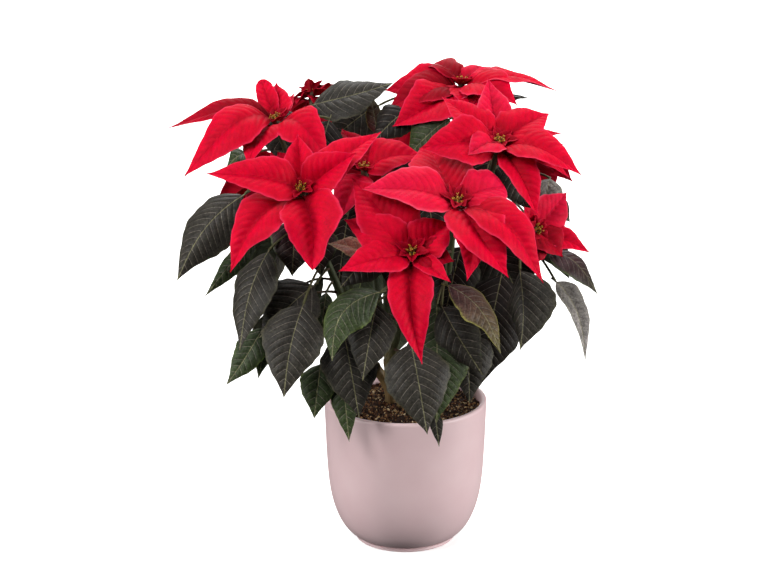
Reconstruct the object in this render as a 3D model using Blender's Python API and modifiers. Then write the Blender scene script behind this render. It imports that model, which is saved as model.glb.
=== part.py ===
"""A poinsettia in a round blush pot, at its real size.

The plant is three cuttings in one pot. Each cutting is a leafy stem that forks into
branches, and each branch ends in a bloom: a whorl of red bracts round a small cluster
of cyathia, the true flowers. +Z is up, -Y is the front, and the origin is the middle of
the pot's foot. Sizes below are in millimetres.

Leaves and bracts are laid out as they are seen from the front by an eye that looks down
a little: a place is (right, up, toward), which seen_from_front turns into a world point.
"""

import math
from dataclasses import dataclass

import bmesh
import bpy
from mathutils import Quaternion, Vector

MM = 0.001
GAP = 0.3

# The pot, a turned ceramic cup on a low foot
POT_HEIGHT = 136.0
POT_RIM_RADIUS = 75.0
POT_WALL = 5.0
FOOT_RADIUS = 46.0
FOOT_HEIGHT = 3.0
POT_FLOOR = 7.0
POT_SIDES = 20
# Outer side from the rim down: radius as a share of the rim's, height as a share of the pot's
POT_SIDE = [(0.994, 0.88), (0.975, 0.62), (0.945, 0.40), (0.885, 0.24), (0.79, 0.12), (0.67, 0.045)]

# The potting mix, and how deep a stem stands in it
SOIL_LEVEL = 126.0
SOIL_CROWN = 3.0
STEM_DEPTH = 38.0

# How the front is seen: the eye's tilt above level, its distance, and the point it looks at
EYE_TILT = math.radians(16.8)
EYE_DISTANCE = 2400.0
LOOK_AT = Vector((0.0, 0.0, 250.0))

# Stems
TRUNK_RADIUS = 5.2
BRANCH_RADIUS = 3.8
TWIG_RADIUS = 2.4
PETIOLE_RADIUS = 1.1
PETIOLE_BOW = 0.15
BRANCH_STEP = 9.0
BRANCH_END = 8.0
BRANCH_PULL = 0.3

# Blades: the shares of their length at which they are shaped, their outline and their thickness
LONG_BLADE = 112.0
SMALL_BLADE = 72.0
LONG_ROWS = (0.0, 0.11, 0.2, 0.42, 0.71, 1.0)
SHORT_ROWS = (0.0, 0.11, 0.3, 0.64, 1.0)
SMALL_ROWS = (0.0, 0.11, 0.45, 1.0)
BLADE_THICKNESS = 0.9
STALK_END = 0.11
STALK_WIDTH = 1.5
# The power that shapes a drawn-out tip, and how much less it is at a blunt one
LONG_TIP = 1.25
BLUNTER = 0.9
# A lobed side: where it swells and where it is notched, each with the share of its width that this adds
LOBE_REACH = 0.1
LOBE = [(0.46, 0.18), (0.74, -0.2)]

# The middle of a bloom
CORE_RADIUS = 3.6
CORE_FOOT_RADIUS = 2.9
CORE_HEIGHT = 15.0
ROOT_RADIUS = 1.2
HIGHEST_ROOT = 2.6
ROOT_DROP = 0.06
HEART_RADIUS = 3.6
HEART_HEIGHT = 2.1
CUP_RADIUS = 1.5
CUP_FOOT_RADIUS = 0.9
CUP_HEIGHT = 4.2
CUP_RING = 2.0
CUP_LEAN = math.radians(24)
CUPS = 3

COLOURS = {
    "pot": ((0.60, 0.45, 0.43), 0.55),
    "soil": ((0.07, 0.035, 0.02), 0.95),
    "leaf": ((0.035, 0.06, 0.03), 0.5),
    "bract": ((0.75, 0.0, 0.02), 0.55),
    "cyathia": ((0.45, 0.38, 0.03), 0.5),
}

# The way a leaf's upper side looks, as (right, up, toward)
TO_FRONT = (0.0, 0.45, 0.9)
TO_LEFT = (-0.5, 0.5, 0.7)
TO_RIGHT = (0.5, 0.5, 0.7)
TO_BACK = (0.0, 0.6, -0.8)
UP = (0.0, 0.95, 0.3)


@dataclass
class Blade:
    """A bract: where its tip is, its width, how far its midrib bows towards its upper side, a power that puts
    the bow's peak nearer its base the smaller it is, the angle that its halves fold up by, its roll about its
    own length, how far the midrib sways sideways, the side that has a lobe, if one has, the share of its
    length at which it is widest, and how blunt it ends, from 0 to 1."""

    right: float
    up: float
    toward: float
    width: float
    arch: float = 10.0
    peak: float = 0.8
    fold: float = 10.0
    roll: float = 0.0
    sway: float = 0.0
    lobe: int = 0
    widest: float = 0.38
    blunt: float = 0.0


@dataclass
class Leaf:
    """A leaf: where its blade begins and ends, its width, the way its upper side looks, and the rest as on a
    Blade."""

    start: tuple
    end: tuple
    width: float
    face: tuple = TO_FRONT
    arch: float = 8.0
    peak: float = 0.8
    fold: float = -8.0
    roll: float = 0.0
    sway: float = 0.0
    lobe: int = 0
    widest: float = 0.38
    blunt: float = 0.0


# Each bloom: the cutting that carries it, its middle as (right, up, toward) from LOOK_AT, the way it faces,
# and its bracts, whose tips are measured from its middle
BLOOMS = {
    "far_left": ("left", (-119, 145, 21), (-0.25, 0.8, 0.5), [
        Blade(-97, -7, -18, 28, 24, peak=0.6, roll=-10),
        Blade(-84, -52, 18, 46, 38, peak=0.62, fold=-6, roll=-26),
        Blade(-13, 37, -20, 19, 2, widest=0.6, blunt=0.9),
        Blade(1, 34, -28, 31, 3),
        Blade(17, 24, -32, 18, 3),
        Blade(-26, -43, 46, 42, 12, fold=4, widest=0.3),
        Blade(50, -40, 22, 44, 30, fold=-4, roll=8),
    ]),
    "left_front": ("left", (-96, 82, 85), (-0.15, 0.6, 0.78), [
        Blade(-87, 14, 12, 43, 16, peak=0.74, fold=14, roll=-10, widest=0.3),
        Blade(-65, -76, 18, 46, 16, sway=6, lobe=-1),
        Blade(10, -74, 30, 56, 14, fold=26, sway=-6, lobe=-1, widest=0.38, blunt=0.45),
        Blade(73, 52, -22, 40, 8),
        Blade(50, 33, 10, 42, 4, fold=20, roll=20, sway=-1),
        Blade(-3, 50, -22, 34, 3, fold=24),
        Blade(-21, 34, -40, 38, 6),
    ]),
    "inner": ("middle", (-38, 101, 8), (0.0, 0.85, 0.5), [
        Blade(-20, 36, -30, 36, 6),
        Blade(54, 12, 4, 48, 12, roll=14),
        Blade(-21, -45, 26, 38, 8),
        Blade(29, 41, -45, 22, 1),
        Blade(-37, 8, -52, 37),
        Blade(23, 10, -66, 39, 12),
    ]),
    "crown": ("right", (51, 179, -41), (0.0, 0.95, 0.3), [
        Blade(-70, -7, -2, 38, roll=-45),
        Blade(-63, -40, 34, 52, 11, fold=16, roll=-30, sway=-5, widest=0.45),
        Blade(-37, 12, -32, 38, 15, widest=0.6, blunt=0.9),
        Blade(-14, -21, 26, 34, 5, widest=0.5, blunt=0.8),
        Blade(18, 15, -12, 30, 4, widest=0.55, blunt=0.9),
        Blade(87, -7, -6, 50, 13),
        Blade(51, -20, 30, 50, 14, roll=20),
        Blade(18, -6, -76, 44, 18),
        Blade(-69, -26, 12, 34, 16, roll=-30),
        Blade(12, -27, 32, 36, 6),
        Blade(-6, -38, 32, 36, 6),
    ]),
    "upper_right": ("right", (85, 125, 41), (0.15, 0.72, 0.68), [
        Blade(-10, 58, -36, 36, 4, fold=16),
        Blade(46, 26, -22, 48, 8),
        Blade(75, -30, 14, 46, 16),
        Blade(57, 8, -48, 22, 8),
        Blade(35, -68, 20, 38, fold=22),
        Blade(-29, -12, 28, 35, 9),
        Blade(-52, 41, -14, 41, 8, sway=-3),
        Blade(-73, -6, 14, 50, 14, roll=-22),
        Blade(65, -33, -12, 26, 12),
    ]),
    "right_front": ("right", (47, 71, 80), (0.08, 0.65, 0.76), [
        Blade(-88, 11, 22, 54, 13),
        Blade(-28, 52, -62, 60, 3, widest=0.5, blunt=0.4),
        Blade(42, 14, -12, 46, 8, widest=0.6, blunt=0.9),
        Blade(78, -75, 12, 43, 31),
        Blade(46, -70, 34, 54, 16, fold=18, sway=6),
        Blade(8, -73, 38, 34, fold=12, sway=-8),
    ]),
    "front_low": ("middle", (5, 24, 99), (-0.05, 0.55, 0.84), [
        Blade(-55, 68, -18, 58),
        Blade(-62, 30, 0, 46, 8, roll=-10),
        Blade(-67, -17, 26, 40, 9),
        Blade(9, -102, 26, 45, 16, fold=14, sway=5, widest=0.32),
        Blade(35, -27, 30, 20, 4),
        Blade(38, -8, 6, 36, 6),
        Blade(35, 28, -12, 44, 6, fold=20, roll=10),
    ]),
    "right_side": ("right", (119, 45, 23), (0.6, 0.2, 0.75), [
        Blade(28, 34, -18, 40, 4),
        Blade(49, -21, -10, 24, 3, sway=-3),
        Blade(24, -25, 0, 38, 6),
        Blade(-11, 21, 10, 26, 3),
        Blade(30, -8, -45, 36, 8),
        Blade(-6, -35, 12, 30, 6),
    ]),
    "left_back": ("left", (-86, 170, -60), (-0.1, 0.95, -0.25), [
        Blade(19, 4, -14, 20, 3, widest=0.6, blunt=0.9),
        Blade(-17, -4, 8, 16, 3),
        Blade(-34, -36, -50, 42, 8),
        Blade(2, -44, -66, 46, 8),
        Blade(34, -36, -44, 42, 6),
        Blade(22, -4, 8, 24, 4),
    ]),
    "back_middle": ("middle", (-19, 107, -115), (0.0, 0.55, -0.84), [
        Blade(-68, 10, -14, 45, 14),
        Blade(-45, -62, -27, 49, 18),
        Blade(10, -82, -31, 52, 20),
        Blade(60, -49, -21, 47, 16),
        Blade(66, 14, -10, 41, 12),
        Blade(25, 37, 19, 35, 6),
        Blade(-27, 37, 21, 35, 6),
    ]),
    "back_right": ("right", (105, 115, -91), (0.35, 0.6, -0.7), [
        Blade(-45, -35, -52, 45, 16),
        Blade(14, -72, -45, 49, 19),
        Blade(48, -26, -8, 45, 14),
        Blade(39, 8, 19, 35, 8),
        Blade(-23, 31, 14, 35, 6),
    ]),
    "back_left": ("left", (-115, 95, -82), (-0.45, 0.55, -0.7), [
        Blade(45, -35, -54, 45, 16),
        Blade(-12, -74, -43, 49, 19),
        Blade(-62, -37, -8, 45, 16),
        Blade(-35, 10, 23, 35, 8),
        Blade(19, 33, 12, 35, 6),
    ]),
}

# Each cutting: where its stem stands in the mix (x, y), where it forks (x, y, z), and its leaves
CUTTINGS = {
    "left": ((-14, 8), (-34, 0, 182), [
        Leaf((-142, 80, 23), (-209, -2, 35), 60, TO_LEFT, fold=-30, roll=-24, sway=8),
        Leaf((-132, 40, -14), (-183, -16, -8), 25, fold=-30),
        Leaf((-122, 30, 50), (-152, -65, 64), 50, TO_LEFT, sway=2),
        Leaf((-128, -42, 16), (-164, -97, 23), 30, sway=-3),
        Leaf((-92, -19, 64), (-112, -109, 87), 56, sway=3),
        Leaf((-80, -4, 37), (-134, -54, 45), 56),
        Leaf((-140, 112, -12), (-164, 100, -8), 30, TO_LEFT),
        Leaf((-89, 157, -35), (-11, 179, -23), 48, (0.1, 0.6, 0.75), arch=5, sway=5),
        Leaf((-100, 58, 41), (-104, 2, 47), 44),
        Leaf((-82, 52, 37), (-78, 2, 41), 36),
        Leaf((-104, 50, -68), (-140, -10, -85), 45, (-0.5, 0.6, -0.6)),
        Leaf((-112, -22, -70), (-134, -91, -96), 40, (-0.4, 0.5, -0.7)),
        Leaf((-95, 52, -23), (-126, -27, -35), 47, (-0.9, 0.3, 0.2)),
        Leaf((-72, 8, -31), (-99, -74, -45), 47, (-0.8, 0.3, -0.2)),
        Leaf((-68, 150, 2), (-92, 62, 10), 46),
        Leaf((-52, 62, 4), (-62, -10, 14), 52),
        Leaf((-120, 160, -20), (-104, 96, 0), 42),
        Leaf((-127, -60, 8), (-134, -90, 12), 13),
        Leaf((-72, -10, 22), (-78, -58, 32), 17),
    ]),
    "middle": ((-3, -4), (-16, -10, 176), [
        Leaf((-18, -11, 80), (-68, -75, 101), 46, TO_LEFT, fold=-28, roll=-20, sway=17),
        Leaf((-26, -19, 60), (-40, -93, 76), 44),
        Leaf((-58, -44, 52), (-43, -127, 64), 52),
        Leaf((-77, -75, 37), (-84, -128, 52), 34),
        Leaf((-59, -83, 35), (-52, -149, 49), 25),
        Leaf((3, -53, 66), (19, -142, 82), 59),
        Leaf((25, -120, 52), (30, -153, 60), 12),
        Leaf((-25, 25, 41), (-60, -8, 54), 39),
        Leaf((-26, 130, -47), (-32, 169, -47), 17),
        Leaf((-37, 17, 54), (-71, 32, 54), 24, (0.0, 0.7, 0.7), fold=10),
        Leaf((-31, 41, -99), (-49, -52, -132), 52, TO_BACK),
        Leaf((16, 21, -93), (31, -72, -128), 52, TO_BACK),
        Leaf((-4, -14, -66), (-10, -72, -101), 47, TO_BACK),
        Leaf((-34, 96, -30), (-44, 30, -22), 50),
        Leaf((-6, 60, -6), (-12, -14, 8), 50),
    ]),
    "right": ((16, 6), (30, -2, 186), [
        Leaf((28, -18, 44), (28, -131, 70), 58, widest=0.5),
        Leaf((31, -21, 56), (70, -88, 68), 42, TO_LEFT),
        Leaf((56, -36, 23), (58, -114, 43), 47),
        Leaf((32, -4, 80), (86, -68, 93), 36, TO_RIGHT, sway=-8, lobe=1),
        Leaf((104, 12, 45), (104, -65, 60), 60, (-0.5, 0.3, 0.8), fold=-35, sway=-7, widest=0.42),
        Leaf((89, 10, 16), (66, -100, 34), 66),
        Leaf((125, 24, 8), (175, -14, 14), 54, UP, arch=12),
        Leaf((133, 1, -12), (164, -74, 4), 28, TO_RIGHT, fold=14, sway=-6, widest=0.24),
        Leaf((132, 93, -16), (125, 56, -6), 29),
        Leaf((91, 103, 4), (113, 61, 19), 35),
        Leaf((38, 132, -8), (8, 115, -4), 38),
        Leaf((6, 155, -25), (-30, 125, -16), 37),
        Leaf((87, 155, -45), (113, 165, -41), 25, UP),
        Leaf((132, 64, -26), (150, 52, -24), 32, TO_RIGHT),
        Leaf((113, 52, -76), (150, 0, -95), 47, (0.5, 0.6, -0.6)),
        Leaf((72, 0, -74), (84, -62, -105), 52, TO_BACK),
        Leaf((95, 41, -31), (116, -30, -37), 47, (0.9, 0.3, 0.1)),
        Leaf((66, 4, -31), (80, -66, -41), 47, (0.8, 0.3, -0.2)),
        Leaf((8, 116, -34), (4, 44, -26), 46),
        Leaf((64, 96, -22), (60, 24, -10), 52),
        Leaf((52, 34, 14), (34, -40, 26), 46),
        Leaf((-20, 160, -66), (-74, 120, -62), 52),
        Leaf((78, 110, -12), (66, 66, -6), 46),
        Leaf((18, 82, 0), (26, 36, 14), 40),
        Leaf((72, 48, -8), (110, -34, 6), 62),
    ]),
}


def seen_from_front(right, up, toward):
    """The world point seen this far right of and above LOOK_AT, and this much nearer to the eye."""
    shrink = 1.0 - toward / EYE_DISTANCE
    sin_tilt, cos_tilt = math.sin(EYE_TILT), math.cos(EYE_TILT)
    upward = Vector((0.0, sin_tilt, cos_tilt)) * up * shrink
    nearer = Vector((0.0, -cos_tilt, sin_tilt)) * toward
    return LOOK_AT + Vector((right * shrink, 0.0, 0.0)) + upward + nearer


def direction_from_front(right, up, toward):
    """The world direction that a (right, up, toward) direction stands for."""
    sin_tilt, cos_tilt = math.sin(EYE_TILT), math.cos(EYE_TILT)
    return Vector((right, up * sin_tilt - toward * cos_tilt, up * cos_tilt + toward * sin_tilt)).normalized()


def clear_scene():
    for obj in list(bpy.data.objects):
        bpy.data.objects.remove(obj, do_unlink=True)


def new_collection(name):
    collection = bpy.data.collections.new(name)
    bpy.context.scene.collection.children.link(collection)
    return collection


def painted(obj, name):
    """The object with this material alone on all its faces."""
    colour, roughness = COLOURS[name]
    mat = bpy.data.materials.get(name) or bpy.data.materials.new(name)
    mat.use_nodes = True
    shader = mat.node_tree.nodes["Principled BSDF"]
    shader.inputs["Base Color"].default_value = (*colour, 1.0)
    shader.inputs["Roughness"].default_value = roughness
    shader.inputs["Metallic"].default_value = 0.0
    obj.data.materials.clear()
    obj.data.materials.append(mat)
    return obj


def mesh_object(name, bm, collection):
    mesh = bpy.data.meshes.new(name)
    bm.to_mesh(mesh)
    bm.free()
    obj = bpy.data.objects.new(name, mesh)
    collection.objects.link(obj)
    return obj


def applied(obj):
    """The object with its modifiers applied, as a mesh whose caps and seams are welded."""
    graph = bpy.context.evaluated_depsgraph_get()
    bm = bmesh.new()
    bm.from_mesh(bpy.data.meshes.new_from_object(obj.evaluated_get(graph)))
    bmesh.ops.remove_doubles(bm, verts=bm.verts, dist=1e-6)
    bmesh.ops.triangulate(bm, faces=bm.faces)
    name, place, owner = obj.name, obj.matrix_world.copy(), obj.users_collection[0]
    bpy.data.objects.remove(obj, do_unlink=True)
    whole = mesh_object(name, bm, owner)
    whole.matrix_world = place
    return whole


def turned(name, profile, collection):
    """A profile of (radius, height), from the axis up the inside and down the outside, turned about Z."""
    mesh = bpy.data.meshes.new(name)
    points = [(radius * MM, 0.0, height * MM) for radius, height in profile]
    mesh.from_pydata(points, [(i, i + 1) for i in range(len(points) - 1)], [])
    obj = bpy.data.objects.new(name, mesh)
    collection.objects.link(obj)
    screw = obj.modifiers.new("turn", "SCREW")
    screw.steps = screw.render_steps = POT_SIDES
    screw.use_merge_vertices = True
    screw.merge_threshold = 1e-5
    return obj


def tube(name, points, radii, collection, resolution=1):
    """A round bar through these points, in millimetres, with a radius at each."""
    curve = bpy.data.curves.new(name, "CURVE")
    curve.dimensions = "3D"
    curve.bevel_depth = MM
    curve.bevel_resolution = resolution
    curve.use_fill_caps = True
    spline = curve.splines.new("POLY")
    spline.points.add(len(points) - 1)
    for spot, point, radius in zip(spline.points, points, radii):
        spot.co = (*(point * MM), 1.0)
        spot.radius = radius
    obj = bpy.data.objects.new(name, curve)
    collection.objects.link(obj)
    return applied(obj)


def bezier(start, leave, arrive, end, count):
    points = []
    for i in range(count + 1):
        t = i / count
        s = 1.0 - t
        points.append(start * s**3 + leave * 3 * s * s * t + arrive * 3 * s * t * t + end * t**3)
    return points


def half_width(form, t, lobed):
    """Half a blade's width at a share t of its length: a stalk, a rounded base, the widest part and a tip,
    which is drawn out or blunt. A lobed side swells and then has a notch."""
    if t <= STALK_END:
        return STALK_WIDTH / 2.0
    if t < form.widest:
        share = math.sin(math.pi / 2 * (t - STALK_END) / (form.widest - STALK_END)) ** 0.6
    else:
        fall = max(0.0, math.cos(math.pi / 2 * (t - form.widest) / (1.0 - form.widest)))
        share = fall ** (LONG_TIP - BLUNTER * form.blunt)
    if lobed:
        share *= 1.0 + sum(added * math.exp(-(((t - place) / LOBE_REACH) ** 2)) for place, added in LOBE)
    return form.width / 2.0 * share


def midrib_of(start, end, face, form):
    """A blade's midrib as a function of the share of its length, and the way its upper side looks: along face
    as far as the midrib allows, then rolled about it. The midrib bows that way and sways sideways."""
    chord = end - start
    along = chord.normalized()
    upper = (face - along * face.dot(along)).normalized()
    upper.rotate(Quaternion(along, math.radians(form.roll)))
    sideways = along.cross(upper)

    def midrib(t):
        bow = upper * form.arch * math.sin(math.pi * t**form.peak)
        return start + chord * t + bow + sideways * form.sway * math.sin(math.pi * t)

    return midrib, upper


def blade(name, start, end, face, form, collection):
    """A thin leaf or bract from start to end, whose halves fold up from the midrib by form.fold degrees."""
    midrib, upper = midrib_of(start, end, face, form)
    length = (end - start).length
    rows = LONG_ROWS if length > LONG_BLADE else SHORT_ROWS if length > SMALL_BLADE else SMALL_ROWS
    fold = math.radians(form.fold)
    bm = bmesh.new()
    bmesh.ops.create_grid(bm, x_segments=2, y_segments=len(rows) - 1, size=1.0)
    for vert in bm.verts:
        side, row = vert.co.x, round((vert.co.y + 1.0) / 2.0 * (len(rows) - 1))
        t = rows[row]
        tangent = (midrib(min(t + 0.02, 1.0)) - midrib(max(t - 0.02, 0.0))).normalized()
        normal = (upper - tangent * upper.dot(tangent)).normalized()
        half = half_width(form, t, form.lobe * side > 0)
        outward = tangent.cross(normal) * side * math.cos(fold) + normal * abs(side) * math.sin(fold)
        vert.co = (midrib(t) + outward * half) * MM
    bmesh.ops.remove_doubles(bm, verts=bm.verts, dist=1e-6)
    bmesh.ops.triangulate(bm, faces=bm.faces)
    obj = mesh_object(name, bm, collection)
    solidify = obj.modifiers.new("thickness", "SOLIDIFY")
    solidify.thickness = BLADE_THICKNESS * MM
    solidify.offset = 0.0
    return applied(obj)


def fuse(obj, joined):
    """Joins all the objects of a collection to obj in one body."""
    union = obj.modifiers.new("union", "BOOLEAN")
    union.operation = "UNION"
    union.operand_type = "COLLECTION"
    union.collection = joined
    union.solver = "MANIFOLD"
    whole = applied(obj)
    for part in list(joined.objects):
        bpy.data.objects.remove(part, do_unlink=True)
    bpy.data.collections.remove(joined)
    return whole


def inner_radius(height):
    """Radius of the pot's inner side at a height, one wall inside its outer side."""
    side = [(POT_RIM_RADIUS, POT_HEIGHT)] + [(POT_RIM_RADIUS * r, POT_HEIGHT * h) for r, h in POT_SIDE]
    for (r_high, high), (r_low, low) in zip(side, side[1:]):
        if low <= height <= high:
            return r_low + (r_high - r_low) * (height - low) / (high - low) - POT_WALL
    return side[-1][0] - POT_WALL


def inner_heights(lowest, highest):
    """The heights between these two at which the pot's side changes its slope, from the top down."""
    return [POT_HEIGHT * h for _, h in POT_SIDE if lowest < POT_HEIGHT * h < highest]


def build_pot(collection):
    rim = POT_WALL / 2.0
    inside = [(0.0, POT_FLOOR), (inner_radius(POT_FLOOR) - 6.0, POT_FLOOR)]
    bends = inner_heights(POT_FLOOR + 1.0, POT_HEIGHT)
    inside += [(inner_radius(height), height) for height in reversed(bends)]
    lip = [
        (POT_RIM_RADIUS - POT_WALL, POT_HEIGHT - rim),
        (POT_RIM_RADIUS - POT_WALL * 0.7, POT_HEIGHT),
        (POT_RIM_RADIUS - POT_WALL * 0.3, POT_HEIGHT),
        (POT_RIM_RADIUS, POT_HEIGHT - rim),
    ]
    outside = [(POT_RIM_RADIUS * r, POT_HEIGHT * h) for r, h in POT_SIDE]
    foot_neck = (FOOT_RADIUS - 2.0, FOOT_HEIGHT + 1.0)
    foot = [foot_neck, (FOOT_RADIUS, FOOT_HEIGHT), (FOOT_RADIUS, 0.0), (0.0, 0.0)]
    pot = turned("pot", inside + lip + outside + foot, collection)
    return painted(pot, "pot")


def build_soil(collection, cutters):
    """The potting mix fills the pot to SOIL_LEVEL, and each stem stands in a plain hole in it."""
    top_radius = inner_radius(SOIL_LEVEL) - GAP
    top = [(0.0, SOIL_LEVEL + SOIL_CROWN), (top_radius - 3.0, SOIL_LEVEL), (top_radius, SOIL_LEVEL - 1.5)]
    bends = inner_heights(POT_FLOOR + 1.0, SOIL_LEVEL - 2.0)
    side = [(inner_radius(height) - GAP, height) for height in bends]
    base = [(inner_radius(POT_FLOOR) - 6.0 - GAP, POT_FLOOR + GAP), (0.0, POT_FLOOR + GAP)]
    soil = turned("soil", top + side + base, collection)
    painted(soil, "soil")
    for name, (foot, _, _) in CUTTINGS.items():
        bpy.ops.mesh.primitive_cylinder_add(
            vertices=8,
            radius=(TRUNK_RADIUS + 1.0) * MM,
            depth=2.0 * STEM_DEPTH * MM,
            location=(foot[0] * MM, foot[1] * MM, SOIL_LEVEL * MM),
        )
        hole = bpy.context.object
        hole.name = "hole_" + name
        hole.hide_render = True
        hole.display_type = "WIRE"
        for owner in list(hole.users_collection):
            owner.objects.unlink(hole)
        cutters.objects.link(hole)
        cut = soil.modifiers.new("hole_" + name, "BOOLEAN")
        cut.operation = "DIFFERENCE"
        cut.object = hole
        cut.solver = "EXACT"
    return soil


def bloom_middle(name):
    _, place, facing, _ = BLOOMS[name]
    return seen_from_front(*place), direction_from_front(*facing)


def bract_tip(name, form):
    """Where a bract ends, which its bloom's table gives from the bloom's middle."""
    right, up, toward = BLOOMS[name][1]
    return seen_from_front(right + form.right, up + form.up, toward + form.toward)


def build_bracts(name, collection):
    """The red bracts of a bloom, fused to the short core under its flowers. The longer ones root lower."""
    middle, face = bloom_middle(name)
    whorl = new_collection("whorl_" + name)
    for number, form in enumerate(BLOOMS[name][3]):
        tip = bract_tip(name, form)
        reach = tip - middle
        outward = (reach - face * reach.dot(face)).normalized()
        root = middle - face * (HIGHEST_ROOT + ROOT_DROP * reach.length) + outward * ROOT_RADIUS
        blade(f"bract_{name}_{number}", root, tip, face, form, whorl)
    core_line = [middle - face * CORE_HEIGHT, middle]
    core = tube("bracts_" + name, core_line, [CORE_FOOT_RADIUS, CORE_RADIUS], collection, resolution=0)
    return painted(fuse(core, whorl), "bract")


def build_cyathia(name, collection):
    """The true flowers in the middle of a bloom: small yellow-green cups that stand in a ring on one base."""
    middle, face = bloom_middle(name)
    turn = face.to_track_quat("Z", "Y")
    cups = new_collection("cups_" + name)
    for number in range(CUPS):
        angle = 2.0 * math.pi * number / CUPS
        bm = bmesh.new()
        bmesh.ops.create_cone(
            bm, cap_ends=True, segments=3, radius1=CUP_FOOT_RADIUS, radius2=CUP_RADIUS, depth=CUP_HEIGHT
        )
        outward = Vector((math.cos(angle), math.sin(angle), 0.0))
        lean = Quaternion((-math.sin(angle), math.cos(angle), 0.0), CUP_LEAN)
        half_up = Vector((0.0, 0.0, CUP_HEIGHT / 2.0))
        for vert in bm.verts:
            vert.co = (middle + face + turn @ (lean @ (vert.co + half_up) + outward * CUP_RING)) * MM
        mesh_object(f"cup_{name}_{number}", bm, cups)
    heart_line = [middle + face * GAP, middle + face * (GAP + HEART_HEIGHT)]
    heart = tube("cyathia_" + name, heart_line, [HEART_RADIUS - 1.0, HEART_RADIUS], collection, resolution=0)
    return painted(fuse(heart, cups), "cyathia")


def branch_line(start, middle, face):
    """The line of a branch, out of the stem and up to just under its bloom's core, straight at its end."""
    end = middle - face * (CORE_HEIGHT + GAP)
    bend = end - face * BRANCH_END
    reach = bend - start
    leave = start + Vector((reach.x, reach.y, reach.length)) * BRANCH_PULL
    return bezier(start, leave, bend - face * reach.length * BRANCH_PULL, bend, 3) + [end]


def nearest_on(lines, point):
    """The point nearest to this one on the lines, leaving out each line's last stretch under its bloom."""
    best = None
    for line in lines:
        for a, b in zip(line[:-2], line[1:-1]):
            along = b - a
            share = min(1.0, max(0.0, (point - a).dot(along) / along.length_squared))
            spot = a + along * share
            if best is None or (spot - point).length < (best - point).length:
                best = spot
    return best


def build_cutting(name, collection):
    """One cutting: its woody stem, its branches, and its leaves on their stalks, grown as one body."""
    foot, fork, leaves = CUTTINGS[name]
    fork = Vector(fork)
    low = Vector((foot[0], foot[1], SOIL_LEVEL - STEM_DEPTH + GAP))
    soil_top = Vector((foot[0], foot[1], SOIL_LEVEL + 8.0))
    grown = new_collection("grown_" + name)
    lines = []
    for number, bloom in enumerate(bloom for bloom in BLOOMS if BLOOMS[bloom][0] == name):
        middle, face = bloom_middle(bloom)
        line = branch_line(fork - Vector((0.0, 0.0, BRANCH_STEP * number)), middle, face)
        thinner = (TWIG_RADIUS - BRANCH_RADIUS) / (len(line) - 1)
        radii = [BRANCH_RADIUS + thinner * i for i in range(len(line))]
        tube(f"branch_{bloom}", line, radii, grown)
        lines.append(line)
    trunk_line = [low] + bezier(soil_top, soil_top + Vector((0, 0, 18)), fork - Vector((0, 0, 18)), fork, 4)
    lines.append(trunk_line)
    for number, leaf in enumerate(leaves):
        start, end = seen_from_front(*leaf.start), seen_from_front(*leaf.end)
        face = direction_from_front(*leaf.face)
        blade(f"leaf_{name}_{number}", start, end, face, leaf, grown)
        root = nearest_on(lines, start)
        bend = root.lerp(start, 0.5) + Vector((0.0, 0.0, (start - root).length * PETIOLE_BOW))
        midrib, _ = midrib_of(start, end, face, leaf)
        into_blade = start.lerp(midrib(STALK_END), 0.5)
        tube(f"petiole_{name}_{number}", [root, bend, into_blade], [PETIOLE_RADIUS] * 3, grown, resolution=0)
    radii = [TRUNK_RADIUS] * (len(trunk_line) - 1) + [BRANCH_RADIUS + 0.8]
    trunk = tube("cutting_" + name, trunk_line, radii, collection)
    return painted(fuse(trunk, grown), "leaf")


def main():
    clear_scene()
    plant = new_collection("poinsettia")
    cutters = new_collection("cutters")
    build_pot(plant)
    build_soil(plant, cutters)
    for name in CUTTINGS:
        build_cutting(name, plant)
    for name in BLOOMS:
        build_bracts(name, plant)
        build_cyathia(name, plant)


main()
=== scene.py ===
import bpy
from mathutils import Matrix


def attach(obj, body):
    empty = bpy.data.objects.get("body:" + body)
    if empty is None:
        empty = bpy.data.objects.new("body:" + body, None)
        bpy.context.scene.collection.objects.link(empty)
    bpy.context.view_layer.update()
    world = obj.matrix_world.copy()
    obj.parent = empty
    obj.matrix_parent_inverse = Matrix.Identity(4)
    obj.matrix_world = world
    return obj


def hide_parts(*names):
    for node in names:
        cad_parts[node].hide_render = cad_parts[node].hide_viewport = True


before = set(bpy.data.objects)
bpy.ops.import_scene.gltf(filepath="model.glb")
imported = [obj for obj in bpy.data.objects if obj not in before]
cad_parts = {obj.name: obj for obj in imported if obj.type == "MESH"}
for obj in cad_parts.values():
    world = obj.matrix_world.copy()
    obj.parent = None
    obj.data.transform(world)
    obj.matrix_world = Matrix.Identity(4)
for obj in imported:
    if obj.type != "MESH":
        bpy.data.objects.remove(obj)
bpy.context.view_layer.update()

# The looks of a poinsettia in a blush ceramic pot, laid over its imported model. Each CAD node is replaced by
# finer pieces on the same lines. The plant's places are millimetres as (right, up, toward) from the point
# that the front view looks at, and sizes are millimetres too. Only the studio and the camera are in metres.

import math

import bmesh
import bpy
import mathutils
import numpy as np

mm = 0.001
weldDistance = 0.001  # millimetres


def linear(code):
    # sRGB hex to linear light: c / 12.92 up to 0.04045, and ((c + 0.055) / 1.055) to the power 2.4 above it
    channels = np.array([int(code[i:i + 2], 16) for i in (1, 3, 5)]) / 255.0
    return np.where(channels <= 0.04045, channels / 12.92, ((channels + 0.055) / 1.055) ** 2.4)


def unit(vectors):
    # each vector over its own length
    vectors = np.asarray(vectors, float)
    return vectors / np.linalg.norm(vectors, axis=-1, keepdims=True)


def wave(turns):
    # sin(2 pi turns)
    return np.sin(2 * math.pi * turns)


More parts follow.
